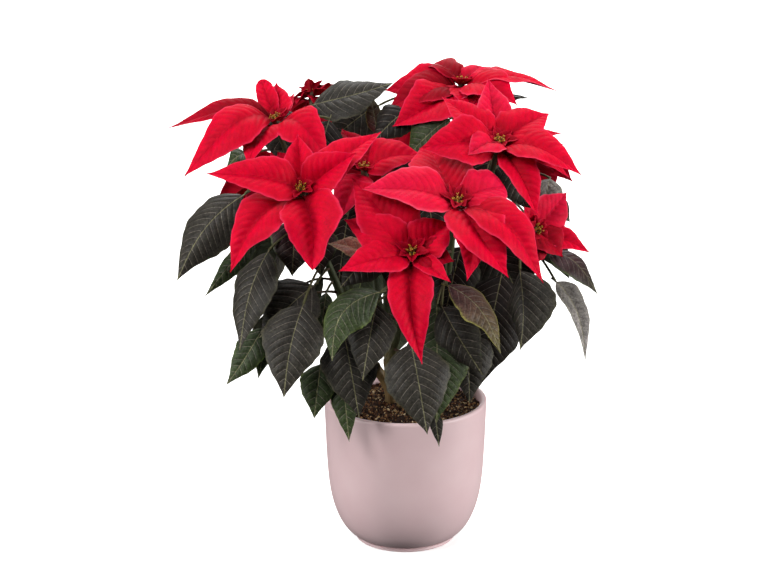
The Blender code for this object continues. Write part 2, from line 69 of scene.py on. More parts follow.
def bell(distance, reach):
    # exp(-(distance / reach)^2)
    return np.exp(-((distance / reach) ** 2))


def withEnds(values):
    # the same list with its first and last items doubled
    return np.concatenate([values[:1], values, values[-1:]])


def drawn(draw, span, size=None):
    # a number by chance, or as many as the size says; span holds the least and what chance adds at most
    return span[0] + span[1] * draw.random(size)


frontView = {"lookAt": np.array((0.0, 0.0, 250.0)), "tilt": math.radians(16.8), "distance": 2400.0}
rightward = np.array((1.0, 0.0, 0.0))
upward = np.array((0.0, math.sin(frontView["tilt"]), math.cos(frontView["tilt"])))
viewward = np.array((0.0, -math.cos(frontView["tilt"]), math.sin(frontView["tilt"])))


def seenFromFront(place):
    # the point this far right, up and toward, where right and up shrink by 1 - toward / distance
    right, up, toward = place
    shrink = 1.0 - toward / frontView["distance"]
    return frontView["lookAt"] + rightward * right * shrink + upward * up * shrink + viewward * toward


def directionFromFront(way):
    # the unit vector of rightward * right + upward * up + viewward * toward
    right, up, toward = way
    return unit(rightward * right + upward * up + viewward * toward)


# Surfaces and pieces


def gridQuads(rows, columns, wrap=False):
    # quads between neighbouring points of a grid, facing (next column) x (next row); wrap joins last to first
    index = np.arange(rows * columns).reshape(rows, columns)
    if wrap:
        index = np.concatenate([index, index[:, :1]], axis=1)
    corners = [index[:-1, :-1], index[:-1, 1:], index[1:, 1:], index[1:, :-1]]
    return np.stack(corners, axis=-1).reshape(-1, 4)


def turnedPart(points, paint):
    # a grid whose columns go round, as a part of a piece, with its colour at each point
    quads = gridQuads(*points.shape[:2], wrap=True)
    flat = points.reshape(-1, 3)
    return {
        "points": flat,
        "quads": quads,
        "paint": np.broadcast_to(paint, points.shape).reshape(-1, 3),
        "veins": np.zeros_like(flat),
        "finish": np.zeros(len(quads)),
    }


def makePiece(name, parts, finishes, replaces=(), weld=False, sharp=60):
    # joins parts in one mesh in metres, paints it, smooths it up to the sharp angle and puts it in the frame
    keys = ("points", "paint", "veins", "finish")
    joined = {key: np.concatenate([part[key] for part in parts]) for key in keys}
    starts = np.cumsum([0] + [len(part["points"]) for part in parts[:-1]])
    quads = np.concatenate([part["quads"] + start for part, start in zip(parts, starts)])
    colours = np.concatenate([joined["paint"], np.ones((len(joined["paint"]), 1))], axis=1)
    mesh = bpy.data.meshes.new(name)
    mesh.from_pydata((joined["points"] * mm).tolist(), [], quads.tolist())
    mesh.polygons.foreach_set("material_index", joined["finish"].astype(np.int32))
    painted = mesh.attributes.new("paint", "FLOAT_COLOR", "POINT")
    painted.data.foreach_set("color", colours.astype(np.float32).ravel())
    veined = mesh.attributes.new("veins", "FLOAT_VECTOR", "POINT")
    veined.data.foreach_set("vector", joined["veins"].astype(np.float32).ravel())
    if weld:
        merged = bmesh.new()
        merged.from_mesh(mesh)
        bmesh.ops.remove_doubles(merged, verts=merged.verts, dist=weldDistance * mm)
        merged.to_mesh(mesh)
        merged.free()
    mesh.shade_smooth()
    mesh.set_sharp_from_angle(angle=math.radians(sharp))
    for finish in finishes:
        mesh.materials.append(finish)
    piece = bpy.data.objects.new(name, mesh)
    bpy.context.scene.collection.objects.link(piece)
    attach(piece, "root")
    if replaces:
        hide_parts(*replaces)


def smoothLine(points, count):
    # Catmull-Rom: between p1 and p2 the point is p1 + t (p2 - p0) / 2 + t^2 (p0 - 5 p1 / 2 + 2 p2 - p3 / 2)
    # + t^3 (3 (p1 - p2) + p3 - p0) / 2, with the ends repeated
    points = np.asarray(points, float)
    padded = withEnds(points)
    place = np.linspace(0.0, len(points) - 1.0, count)
    step = np.minimum(place.astype(int), len(points) - 2)
    t = (place - step)[:, None]
    p0, p1, p2, p3 = (padded[step + i] for i in range(4))
    curve = p1 + t * (p2 - p0) / 2 + t**2 * (p0 - 2.5 * p1 + 2 * p2 - p3 / 2)
    return curve + t**3 * (3 * (p1 - p2) + p3 - p0) / 2


def bezier(start, leave, arrive, end, count):
    # start (1-t)^3 + 3 leave (1-t)^2 t + 3 arrive (1-t) t^2 + end t^3
    t = np.linspace(0.0, 1.0, count)[:, None]
    return start * (1 - t) ** 3 + leave * 3 * (1 - t) ** 2 * t + arrive * 3 * (1 - t) * t**2 + end * t**3


def roundTurn(sides):
    # the angles of this many points round a circle
    return np.linspace(0.0, 2 * math.pi, sides, endpoint=False)[None, :]


def tubePoints(line, radii, sides):
    # round a line: point + radius (cos a sideways + sin a over), where sideways is tangent x a fixed axis and
    # over is sideways x tangent; one more ring at each end, next to nothing wide, closes the tube
    almostPoint = 1e-4
    almostNothing = 1e-9  # gives the doubled ends a direction until they take their neighbours'
    line = withEnds(line)
    radii = np.concatenate([[almostPoint], radii, [almostPoint]])
    tangent = unit(np.gradient(line, axis=0) + almostNothing)
    tangent[0], tangent[-1] = tangent[1], tangent[-2]
    axis = np.eye(3)[np.argmin(np.abs(unit(line[-1] - line[0])))]
    sideways = unit(np.cross(tangent, axis))
    over = np.cross(sideways, tangent)
    angle = roundTurn(sides)[..., None]
    ring = np.cos(angle) * sideways[:, None] + np.sin(angle) * over[:, None]
    return line[:, None] + ring * radii[:, None, None]


def turnedPoints(profile, sides):
    # a profile of (radius, height) turned about Z: (radius cos a, radius sin a, height)
    angle = roundTurn(sides)
    radius, height = profile[:, :1], profile[:, 1:]
    return np.stack([radius * np.cos(angle), radius * np.sin(angle), height + 0 * angle], axis=-1)


# Blades: leaves and bracts

# What all blades share. A wave or ripple has a size and a count over the blade's length
bladeForm = {
    "columns": 21,
    "rowStep": 1.6,
    "endRows": 8,
    "crowding": 0.055,  # of the rows towards both ends
    "stalkWidth": 1.6,
    "tipWidth": 0.35,
    "edgeThickness": 0.3,
    "middleThickness": 0.6,
    "middleReach": 3.0,
    "ribDepth": 0.7,
    "ribReach": 1.1,
    "ribTaper": 0.7,
    "slowRipple": (0.03, 3),  # of the edge, in shares of the half width
    "quickRipple": (0.02, 8),
    "foldRound": 0.004,
    "foldDrop": 0.063,
    "veinBend": 0.3,
    "veinWander": (0.25, 0.8),
    "swell": 0.7,  # the power of sin(pi t) by which puffs and waves die out at both ends
    "quiltFade": 2.5,  # out from the midrib, in millimetres
    "quiltEdge": 0.25,  # in from the edge, in |s|
    "patches": (0.7, 1.7),  # of stronger and weaker quilting
    "patchSlant": 0.6,
    "rootReach": 0.16,
}
sideLobe = {"gain": 0.18, "at": 0.46, "loss": 0.2, "waist": 0.74, "reach": 0.1}
# What can differ from blade to blade. Fold and roll are degrees, and lobe is the side that has one, 1 or -1.
# Sway, quilt, spacing, gutter and the reaches are millimetres. Puff, wave and curl are shares of the half
# width, and lean is how far forward a vein runs for each millimetre that it runs out
# foldShade and rootShade are painted shade: how much the colour darkens along the fold and at the root
bractLook = {
    "peak": 0.8, "fold": 10, "roll": 0, "lobe": 0, "sway": 0, "widest": 0.38, "blunt": 0, "stalkEnd": 0.05,
    "puff": 0.1, "wave": 0.08, "waves": 2.3, "curl": 0.06, "quilt": 0.5, "spacing": 7.2, "lean": 0.62,
    "pleat": 2.0, "gutter": 1.7, "gutterReach": 4.5, "foldShade": 0.3, "foldReach": 4.0, "rootShade": 0.5,
}
leafLook = {
    "peak": 0.8, "fold": -8, "roll": 0, "lobe": 0, "sway": 0, "widest": 0.38, "blunt": 0, "stalkEnd": 0.075,
    "puff": 0.09, "wave": 0.035, "waves": 2.6, "curl": 0.05, "quilt": 0.34, "spacing": 7.6, "lean": 0.55,
    "pleat": 1.0, "gutter": 0.7, "gutterReach": 4.5, "foldShade": 0.0, "foldReach": 4.0, "rootShade": 0.0,
}


def bladeShare(t, look, lobed):
    # share of the half width: sin(quarter turn x)^0.6 from the stalk to the widest place, then to the tip
    # cos(quarter turn x) to the power 1.25 - 0.9 blunt; a lobed side gains a bell and then loses one
    stalk, widest = look["stalkEnd"], look["widest"]
    taper = 1.25 - 0.9 * look["blunt"]
    rise = np.clip((t - stalk) / (widest - stalk), 0.0, 1.0)
    fall = np.clip((t - widest) / (1.0 - widest), 0.0, 1.0)
    share = np.where(t < widest, np.sin(math.pi / 2 * rise) ** 0.6, np.cos(math.pi / 2 * fall) ** taper)
    gain = sideLobe["gain"] * bell(t - sideLobe["at"], sideLobe["reach"])
    loss = sideLobe["loss"] * bell(t - sideLobe["waist"], sideLobe["reach"])
    return share * np.where(lobed, 1.0 + gain - loss, 1.0)


def midribPoints(t, start, end, upper, look):
    # start + chord t + upper arch sin(pi t^peak), swayed sideways by sway sin(pi t)
    sideways = np.cross(unit(end - start), upper)
    bow = look["arch"] * np.sin(math.pi * t ** look["peak"])
    return start + (end - start) * t + upper * bow + sideways * look["sway"] * np.sin(math.pi * t)


def upperSide(start, end, face, roll):
    # the way a blade looks: face made square to the chord, then turned about it by the roll
    along = unit(end - start)
    upper = unit(face - along * np.dot(face, along))
    angle = math.radians(roll)
    return upper * math.cos(angle) + np.cross(along, upper) * math.sin(angle)


def waveOf(name, t, phase):
    # size sin(2 pi (count t + phase))
    size, count = bladeForm[name]
    return size * wave(count * t + phase)


def bladeSheet(t, s, start, end, face, look, seed):
    # the middle surface, midrib + sideways out + normal lift. Out from the midrib each half leans up by the
    # fold, puffs by sin(pi |s|), curls down by s^2, sinks beside the midrib by a bell and waves at its edge
    # by s^2 sin(2 pi waves t). It is quilted by |sin(pi veins)|^pleat, more in some patches than in others.
    # veins counts the veins: (along - lean across - veinBend across^2 / half width) / spacing, with a slow
    # wander. The two sides draw their own ripple, wave and veins
    draw = np.random.default_rng(seed)
    right = s > 0
    length = np.linalg.norm(end - start)
    upper = upperSide(start, end, face, look["roll"])
    midrib = midribPoints(t, start, end, upper, look)
    tangent = unit(np.gradient(midrib, t[:, 0], axis=0))
    normal = unit(upper - tangent * (tangent @ upper)[:, None])
    sideways = np.cross(tangent, normal)

    slow = np.where(right, draw.random(), draw.random())
    quick = np.where(right, draw.random(), draw.random())
    ripple = 1.0 + waveOf("slowRipple", t, slow) + waveOf("quickRipple", t, quick)
    half = look["width"] / 2.0 * bladeShare(t, look, look["lobe"] * s > 0) * ripple
    half = np.maximum(half, np.where(t < 0.5, bladeForm["stalkWidth"], bladeForm["tipWidth"]) / 2.0)
    across = np.abs(s) * half
    swell = np.sin(math.pi * t) ** bladeForm["swell"]
    phase = look["waves"] * t + draw.random() + np.where(right, draw.random(), 0.0)
    veins = (t * length - look["lean"] * across - bladeForm["veinBend"] * across**2 / half) / look["spacing"]
    veins = veins + waveOf("veinWander", t, draw.random())
    veins = veins + np.where(right, draw.random(), 0.0)

    fold = math.radians(look["fold"])
    out = s * half * math.cos(fold)
    lift = (np.sqrt(s**2 + bladeForm["foldRound"]) - bladeForm["foldDrop"]) * half * math.sin(fold)
    lift = lift + look["puff"] * half * np.sin(math.pi * np.abs(s)) * swell
    lift = lift - look["curl"] * half * s**2
    lift = lift + look["wave"] * half * s**2 * wave(phase) * swell
    fading = np.clip((1.0 - np.abs(s)) / bladeForm["quiltEdge"], 0.0, 1.0)
    fading = fading * np.clip(across / bladeForm["quiltFade"], 0.0, 1.0)
    patches = 1.0 + waveOf("patches", t, bladeForm["patchSlant"] * s + slow)
    quilt = np.abs(np.sin(math.pi * veins)) ** look["pleat"] - 0.5
    lift = lift + look["quilt"] * quilt * (fading * patches)
    lift = lift - look["gutter"] * bell(across, look["gutterReach"]) * swell
    sheet = midrib[:, None] + sideways[:, None] * out[..., None] + normal[:, None] * lift[..., None]
    return sheet, across, veins


def bladePaint(t, s, across, look, colours):
    # from the base colour to the tip colour by t^1.5, towards the edge colour by s^20, and painted shade
    # darkens along the fold, by foldShade times a bell times 1 - t, and at the root, by rootShade times a
    # bell
    base, tip, edge = (linear(code) for code in colours)
    colour = base + (tip - base) * (t**1.5)[..., None]
    colour = colour + (edge - colour) * (s**20)[..., None]
    folded = look["foldShade"] * bell(across, look["foldReach"]) * (1.0 - t)
    rooted = look["rootShade"] * bell(t, bladeForm["rootReach"])
    return colour * ((1.0 - folded) * (1.0 - rooted))[..., None]


def bladePart(start, end, face, look, colours, seed):
    # a thin closed blade on a grid of t (0 at the stalk, 1 at the tip) and s (-1 to 1 across): the middle
    # surface moved half the thickness up and down, with the rib below; each point keeps veins, across and |s|
    rows = int(np.linalg.norm(end - start) / bladeForm["rowStep"]) + bladeForm["endRows"]
    columns = bladeForm["columns"]
    x = np.linspace(0.0, 1.0, rows)
    t = (x - bladeForm["crowding"] * wave(x))[:, None]
    s = np.linspace(-1.0, 1.0, columns)[None, :]
    sheet, across, veins = bladeSheet(t, s, start, end, face, look, seed)
    facing = unit(np.cross(np.gradient(sheet, axis=1), np.gradient(sheet, axis=0)))
    thin, thick = bladeForm["edgeThickness"], bladeForm["middleThickness"]
    half = (thin + (thick - thin) * bell(across, bladeForm["middleReach"])) / 2
    rib = bladeForm["ribDepth"] * bell(across, bladeForm["ribReach"]) * (1.0 - bladeForm["ribTaper"] * t)
    top = sheet + facing * half[..., None]
    under = sheet - facing * (half + rib)[..., None]

    count = rows * columns
    index = np.arange(count).reshape(rows, columns)
    upperQuads = gridQuads(rows, columns)
    lowerQuads = upperQuads[:, ::-1] + count
    edges = [index[::-1, 0], index[:, -1], index[-1, ::-1], index[0, :]]
    rim = [np.stack([edge[:-1], edge[:-1] + count, edge[1:] + count, edge[1:]], axis=-1) for edge in edges]
    rim = np.concatenate(rim)
    paint = bladePaint(t, s, across, look, colours)
    coordinates = np.stack([veins, across, np.abs(s) + 0 * t], axis=-1)
    return {
        "points": np.concatenate([top.reshape(-1, 3), under.reshape(-1, 3)]),
        "quads": np.concatenate([upperQuads, lowerQuads, rim]),
        "paint": np.concatenate([paint.reshape(-1, 3)] * 2),
        "veins": np.concatenate([coordinates.reshape(-1, 3)] * 2),
        "finish": np.concatenate([np.zeros(len(upperQuads)), np.ones(len(lowerQuads)), np.zeros(len(rim))]),
    }


# The plant, as it is seen from the front. A bloom has its middle, the way it faces and its bracts, whose tips
# are measured from its middle. A leaf runs from its stalk to its tip. Angles are degrees.

toFront = (0.0, 0.45, 0.9)
toLeft = (-0.5, 0.5, 0.7)
toRight = (0.5, 0.5, 0.7)
toBack = (0.0, 0.6, -0.8)
toSky = (0.0, 0.95, 0.3)


def bract(tip, width, arch, kind="bright", **more):
    # the bracts' common look, with this one's own values over it
    return {**bractLook, "tip": tip, "width": width, "arch": arch, "kind": kind, **more}


def bloom(cutting, middle, facing, bracts):
    return {"cutting": cutting, "middle": middle, "facing": facing, "bracts": bracts}


def leaf(start, end, width, face=toFront, arch=8, kind="dark", **more):
    # the leaves' common look, with this one's own values over it
    own = {"from": start, "to": end, "width": width, "face": face, "arch": arch, "kind": kind}
    return {**leafLook, **own, **more}


# The colours at the base, at the tip and at the edge
bractColours = {
    "bright": ("#c80024", "#dc0030", "#e42c50"),
    # painted highlight: a pinker, lighter copy of the bright red, for bracts that face the light
    "litPink": ("#d40a30", "#df1440", "#e84a66"),
    # painted shade: a darker copy of the bright red, for bracts that lie in shade
    "deep": ("#8a0014", "#b60024", "#cc1a3a"),
}
leafColours = {
    "dark": ("#322f2a", "#37342d", "#454232"),
    # inner is painted shade: near-black leaves deep inside the plant, where the shade falls
    "inner": ("#1e1714", "#211e18", "#2c2a1c"),
    "fresh": ("#333d28", "#404c2c", "#566232"),
    "grey": ("#75706a", "#948e8b", "#8f8c7c"),
    "bronze": ("#4a2c30", "#5c5636", "#8f8a46"),
    "purple": ("#3a1a24", "#33342a", "#4a5634"),
    "blush": ("#b06c5c", "#7c584a", "#b0986e"),
}
blooms = {
    "far_left": bloom("left", (-119, 145, 21), (-0.25, 0.8, 0.5), [
        bract((-97, -7, -18), 28, 24, peak=0.6, roll=-10, kind="deep"),
        bract((-84, -52, 18), 46, 38, peak=0.62, fold=-6, roll=-26),
        bract((-13, 37, -20), 19, 2, widest=0.6, blunt=0.9),
        bract((1, 34, -28), 31, 3),
        bract((17, 24, -32), 18, 3),
        bract((-26, -43, 46), 42, 12, fold=4, widest=0.3),
        bract((50, -40, 22), 44, 30, fold=-4, roll=8),
    ]),
    "left_front": bloom("left", (-96, 82, 85), (-0.15, 0.6, 0.78), [
        bract((-87, 14, 12), 43, 16, peak=0.74, fold=14, roll=-10, widest=0.3),
        bract((-65, -76, 18), 46, 16, sway=6, lobe=-1),
        bract((10, -74, 30), 56, 14, fold=26, sway=-6, blunt=0.45, lobe=-1, gutter=3.6,
              gutterReach=8.0, foldShade=0.5, foldReach=8.0),
        bract((73, 52, -22), 40, 8),
        bract((50, 33, 10), 42, 4, fold=20, roll=20, sway=-1),
        bract((-3, 50, -22), 34, 3, fold=24),
        bract((-21, 34, -40), 38, 6, kind="deep"),
    ]),
    "inner": bloom("middle", (-38, 101, 8), (0.0, 0.85, 0.5), [
        bract((-20, 36, -30), 36, 6, kind="deep"),
        bract((54, 12, 4), 48, 12, roll=14),
        bract((-21, -45, 26), 38, 8, kind="litPink"),
        bract((29, 41, -45), 22, 1),
        bract((-37, 8, -52), 37, 10),
        bract((23, 10, -66), 39, 12),
    ]),
    "crown": bloom("right", (51, 179, -41), (0.0, 0.95, 0.3), [
        bract((-70, -7, -2), 44, 10, roll=-45),
        bract((-63, -40, 34), 52, 11, fold=16, roll=-30, sway=-5, widest=0.45),
        bract((-37, 12, -32), 43, 13.5, widest=0.6, blunt=0.9, kind="deep"),
        bract((-14, -21, 26), 34, 5, widest=0.5, blunt=0.8, kind="litPink"),
        bract((18, 15, -12), 30, 4, widest=0.55, blunt=0.9, kind="litPink"),
        bract((87, -7, -6), 50, 13),
        bract((51, -20, 30), 50, 14, roll=20),
        bract((18, -6, -76), 44, 18),
        bract((-69, -26, 12), 42, 16, roll=-30, kind="deep"),
        bract((12, -27, 32), 36, 6),
        bract((-6, -38, 32), 36, 6, kind="deep"),
        bract((-22, -3, 9), 24, 1, kind="deep"),
        bract((12, -14, 16), 18, 1, kind="deep"),
    ]),
    "upper_right": bloom("right", (85, 125, 41), (0.15, 0.72, 0.68), [
        bract((-10, 58, -36), 36, 4, fold=16, kind="litPink"),
        bract((46, 26, -22), 48, 8),
        bract((75, -30, 14), 46, 16),
        bract((57, 8, -48), 22, 8),
        bract((35, -68, 20), 38, 10, fold=22),
        bract((-29, -12, 28), 35, 9, kind="litPink"),
        bract((-52, 41, -14), 41, 8, sway=-3),
        bract((-73, -6, 14), 50, 14, roll=-22),
        bract((65, -33, -12), 26, 12),
    ]),
    "right_front": bloom("right", (47, 71, 80), (0.08, 0.65, 0.76), [
        bract((-88, 11, 22), 54, 13, kind="litPink"),
        bract((-28, 52, -62), 60, 3, widest=0.5, blunt=0.4),
        bract((42, 14, -12), 46, 8, widest=0.6, blunt=0.9, kind="litPink"),
        bract((78, -75, 12), 43, 31),
        bract((46, -70, 34), 54, 16, fold=18, sway=6),
        bract((8, -73, 38), 34, 10, fold=12, sway=-8),
    ]),
    "front_low": bloom("middle", (5, 24, 99), (-0.05, 0.55, 0.84), [
        bract((-55, 68, -18), 58, 10),
        bract((-62, 30, 0), 46, 8, roll=-10),
        bract((-67, -17, 26), 40, 9),
        bract((9, -102, 26), 45, 16, fold=26, sway=5, widest=0.32, foldShade=0.45, foldReach=6.0),
        bract((35, -27, 30), 20, 4),
        bract((38, -8, 6), 36, 6, kind="deep"),
        bract((35, 28, -12), 44, 6, fold=20, roll=10),
    ]),
    "right_side": bloom("right", (119, 45, 23), (0.6, 0.2, 0.75), [
        bract((28, 34, -18), 40, 4, kind="litPink"),
        bract((49, -21, -10), 24, 3, sway=-3),
        bract((24, -25, 0), 38, 6, kind="deep"),
        bract((-11, 21, 10), 26, 3),
        bract((30, -8, -45), 36, 8, kind="deep"),
        bract((-6, -35, 12), 30, 6, kind="deep"),
    ]),
    "left_back": bloom("left", (-86, 170, -60), (-0.1, 0.95, -0.25), [
        bract((19, 4, -14), 25, 3, widest=0.6, blunt=0.9, kind="deep"),
        bract((-17, -4, 8), 16, 3, kind="deep"),
        bract((-34, -36, -50), 42, 8),
        bract((2, -44, -66), 46, 8),
        bract((34, -36, -44), 42, 6),
        bract((22, -4, 8), 24, 4, kind="deep"),
        bract((-14, -10, 10), 24, 3, kind="deep"),
        bract((8, -16, 12), 22, 3, kind="deep"),
    ]),
    "back_middle": bloom("middle", (-19, 107, -115), (0.0, 0.55, -0.84), [
        bract((-68, 10, -14), 45, 14),
        bract((-45, -62, -27), 49, 18),
        bract((10, -82, -31), 52, 20),
        bract((60, -49, -21), 47, 16),
        bract((66, 14, -10), 41, 12),
        bract((25, 37, 19), 35, 6),
        bract((-27, 37, 21), 35, 6),
    ]),
    "back_right": bloom("right", (105, 115, -91), (0.35, 0.6, -0.7), [
        bract((-45, -35, -52), 45, 16),
        bract((14, -72, -45), 49, 19),
        bract((48, -26, -8), 45, 14),
        bract((39, 8, 19), 35, 8),
        bract((-23, 31, 14), 35, 6),
    ]),
    "back_left": bloom("left", (-115, 95, -82), (-0.45, 0.55, -0.7), [
        bract((45, -35, -54), 45, 16),
        bract((-12, -74, -43), 49, 19),
        bract((-62, -37, -8), 45, 16),
        bract((-35, 10, 23), 35, 8),
        bract((19, 33, 12), 35, 6),
    ]),
}
# the leaves of the inner kind are painted shade, near-black deep inside the plant
cuttings = {
    "left": {"foot": (-14, 8), "fork": (-34, 0, 182), "leaves": [
        leaf((-142, 80, 23), (-209, -2, 35), 60, face=toLeft, fold=-30, roll=-24, sway=8),
        leaf((-132, 40, -14), (-183, -16, -8), 25, fold=-30, kind="fresh"),
        leaf((-122, 30, 50), (-152, -65, 64), 50, face=toLeft, sway=2),
        leaf((-128, -42, 16), (-164, -97, 23), 30, sway=-3, kind="fresh"),
        leaf((-92, -19, 64), (-112, -109, 87), 56, sway=3),
        leaf((-80, -4, 37), (-134, -54, 45), 56),
        leaf((-140, 112, -12), (-164, 100, -8), 30, face=toLeft, kind="fresh"),
        leaf((-89, 157, -35), (-11, 179, -23), 48, face=(0.1, 0.6, 0.75), arch=5, sway=5),
        leaf((-100, 58, 41), (-104, 2, 47), 44, kind="purple"),
        leaf((-82, 52, 37), (-78, 2, 41), 36, kind="purple"),
        leaf((-104, 50, -68), (-140, -10, -85), 45, face=(-0.5, 0.6, -0.6)),
        leaf((-112, -22, -70), (-134, -91, -96), 40, face=(-0.4, 0.5, -0.7)),
        leaf((-95, 52, -23), (-126, -27, -35), 47, face=(-0.9, 0.3, 0.2)),
        leaf((-72, 8, -31), (-99, -74, -45), 47, face=(-0.8, 0.3, -0.2), kind="inner"),
        leaf((-68, 150, 2), (-92, 62, 10), 46, kind="inner"),
        leaf((-52, 62, 4), (-62, -10, 14), 52, kind="inner"),
        leaf((-120, 160, -20), (-104, 96, 0), 42),
        leaf((-127, -60, 8), (-134, -90, 12), 13, kind="fresh"),
        leaf((-72, -10, 22), (-78, -58, 32), 17, kind="fresh"),
    ]},
    "middle": {"foot": (-3, -4), "fork": (-16, -10, 176), "leaves": [
        leaf((-18, -11, 80), (-68, -75, 101), 46, face=toLeft, fold=-28, roll=-20, sway=17, kind="fresh"),
        leaf((-26, -19, 60), (-40, -93, 76), 44),
        leaf((-58, -44, 52), (-43, -127, 64), 52),
        leaf((-77, -75, 37), (-84, -128, 52), 34, kind="fresh"),
        leaf((-59, -83, 35), (-52, -149, 49), 25, kind="fresh"),
        leaf((3, -53, 66), (19, -142, 82), 59),
        leaf((25, -120, 52), (30, -153, 60), 12),
        leaf((-25, 25, 41), (-60, -8, 54), 39, kind="inner"),
        leaf((-26, 130, -47), (-32, 169, -47), 17, kind="bronze"),
        leaf((-37, 17, 54), (-71, 32, 54), 24, face=(0.0, 0.7, 0.7), fold=10, kind="blush"),
        leaf((-31, 41, -99), (-49, -52, -132), 52, face=toBack),
        leaf((16, 21, -93), (31, -72, -128), 52, face=toBack),
        leaf((-4, -14, -66), (-10, -72, -101), 47, face=toBack),
        leaf((-34, 96, -30), (-44, 30, -22), 50, kind="inner"),
        leaf((-6, 60, -6), (-12, -14, 8), 50, kind="inner"),
    ]},
    "right": {"foot": (16, 6), "fork": (30, -2, 186), "leaves": [
        leaf((28, -18, 44), (28, -131, 70), 58, widest=0.5, kind="fresh"),
        leaf((31, -21, 56), (70, -88, 68), 42, face=toLeft),
        leaf((56, -36, 23), (58, -114, 43), 47),
        leaf((32, -4, 80), (86, -68, 93), 36, face=toRight, sway=-8, lobe=1, kind="bronze"),
        leaf((104, 12, 45), (104, -65, 60), 60, face=(-0.5, 0.3, 0.8), fold=-35, sway=-7, widest=0.42),
        leaf((89, 10, 16), (66, -100, 34), 66, kind="inner"),
        leaf((125, 24, 8), (175, -14, 14), 54, face=toSky, arch=12, kind="purple"),
        leaf((133, 1, -12), (164, -74, 4), 28, face=toRight, fold=14, sway=-6, widest=0.24, kind="grey"),
        leaf((132, 93, -16), (125, 56, -6), 29, kind="grey"),
        leaf((91, 103, 4), (113, 61, 19), 35),
        leaf((43, 147, -8), (2, 112, -4), 50, kind="fresh"),
        leaf((6, 155, -25), (-30, 125, -16), 37, kind="inner"),
        leaf((87, 155, -45), (113, 165, -41), 25, face=toSky),
        leaf((132, 64, -26), (150, 52, -24), 32, face=toRight),
        leaf((113, 52, -76), (150, 0, -95), 47, face=(0.5, 0.6, -0.6)),
        leaf((72, 0, -74), (84, -62, -105), 52, face=toBack),
        leaf((95, 41, -31), (116, -30, -37), 47, face=(0.9, 0.3, 0.1)),
        leaf((66, 4, -31), (80, -66, -41), 47, face=(0.8, 0.3, -0.2), kind="inner"),
        leaf((8, 116, -34), (4, 44, -26), 46, kind="inner"),
        leaf((64, 96, -22), (60, 24, -10), 52, kind="inner"),
        leaf((52, 34, 14), (34, -40, 26), 46, kind="inner"),
        leaf((-20, 160, -66), (-74, 120, -62), 52),
        leaf((78, 110, -12), (66, 66, -6), 46, kind="inner"),
        leaf((18, 82, 0), (26, 36, 14), 40, kind="inner"),
        leaf((72, 48, -8), (110, -34, 6), 62),
    ]},
}


# Materials


def addNode(tree, kind, settings=None, inputs=None):
    # one node: settings are its properties, and inputs are values or other nodes' outputs for its sockets
    made = tree.nodes.new(kind)
    for key, value in (settings or {}).items():
        setattr(made, key, value)
    for key, value in (inputs or {}).items():
        if isinstance(value, bpy.types.NodeSocket):
            tree.links.new(value, made.inputs[key])
        else:
            made.inputs[key].default_value = value
    return made


def newMaterial(name, surface):
    # a material whose shader has these uniform values on its own sockets; returns it with its tree and shader
    made = bpy.data.materials.new(name)
    made.use_nodes = True
    shader = made.node_tree.nodes["Principled BSDF"]
    for socket, value in surface.items():
        shader.inputs[socket].default_value = value
    return made, made.node_tree, shader


def rgba(code):
    return (*linear(code), 1.0)


def attribute(tree, name, output):
    return addNode(tree, "ShaderNodeAttribute", {"attribute_name": name}).outputs[output]


def calculate(tree, operation, *values):
    return addNode(tree, "ShaderNodeMath", {"operation": operation}, dict(enumerate(values))).outputs[0]


def times(tree, first, second):
    return calculate(tree, "MULTIPLY", first, second)


def remap(tree, value, low, high, toLow, toHigh, kind="LINEAR"):
    # the range from low to high becomes toLow to toHigh, and holds at its ends
    inputs = {"Value": value, "From Min": low, "From Max": high, "To Min": toLow, "To Max": toHigh}
    return addNode(tree, "ShaderNodeMapRange", {"interpolation_type": kind}, inputs).outputs["Result"]


def softStep(tree, value, low, high, toLow=0.0, toHigh=1.0):
    # the same by 3 n^2 - 2 n^3
    return remap(tree, value, low, high, toLow, toHigh, "SMOOTHSTEP")


def aroundOne(tree, value, share):
    # a noise's middle values spread over 1 - share to 1 + share
    return remap(tree, value, 0.3, 0.7, 1.0 - share, 1.0 + share)


def mixed(tree, share, first, second):
    # sockets 6, 7 and 2 are the colour ones
    inputs = {"Factor": share, 6: first, 7: second}
    return addNode(tree, "ShaderNodeMix", {"data_type": "RGBA"}, inputs).outputs[2]


def scaled(tree, colour, light):
    inputs = {0: colour, "Scale": light}
    return addNode(tree, "ShaderNodeVectorMath", {"operation": "SCALE"}, inputs).outputs["Vector"]


def noise(tree, place, size, detail, roughness=0.5):
    # cells of this size in millimetres, as a texture's scale is how many lie on a metre
    inputs = {"Vector": place, "Scale": 1.0 / (size * mm), "Detail": detail, "Roughness": roughness}
    return addNode(tree, "ShaderNodeTexNoise", inputs=inputs).outputs["Fac"]


def linkSurface(tree, shader, colour, height, depth, strength):
    # the shader's colour, and its relief: a height of 1 stands this many millimetres high
    inputs = {"Height": height, "Distance": depth * mm, "Strength": strength}
    relief = addNode(tree, "ShaderNodeBump", inputs=inputs)
    tree.links.new(colour, shader.inputs["Base Color"])
    tree.links.new(relief.outputs["Normal"], shader.inputs["Normal"])


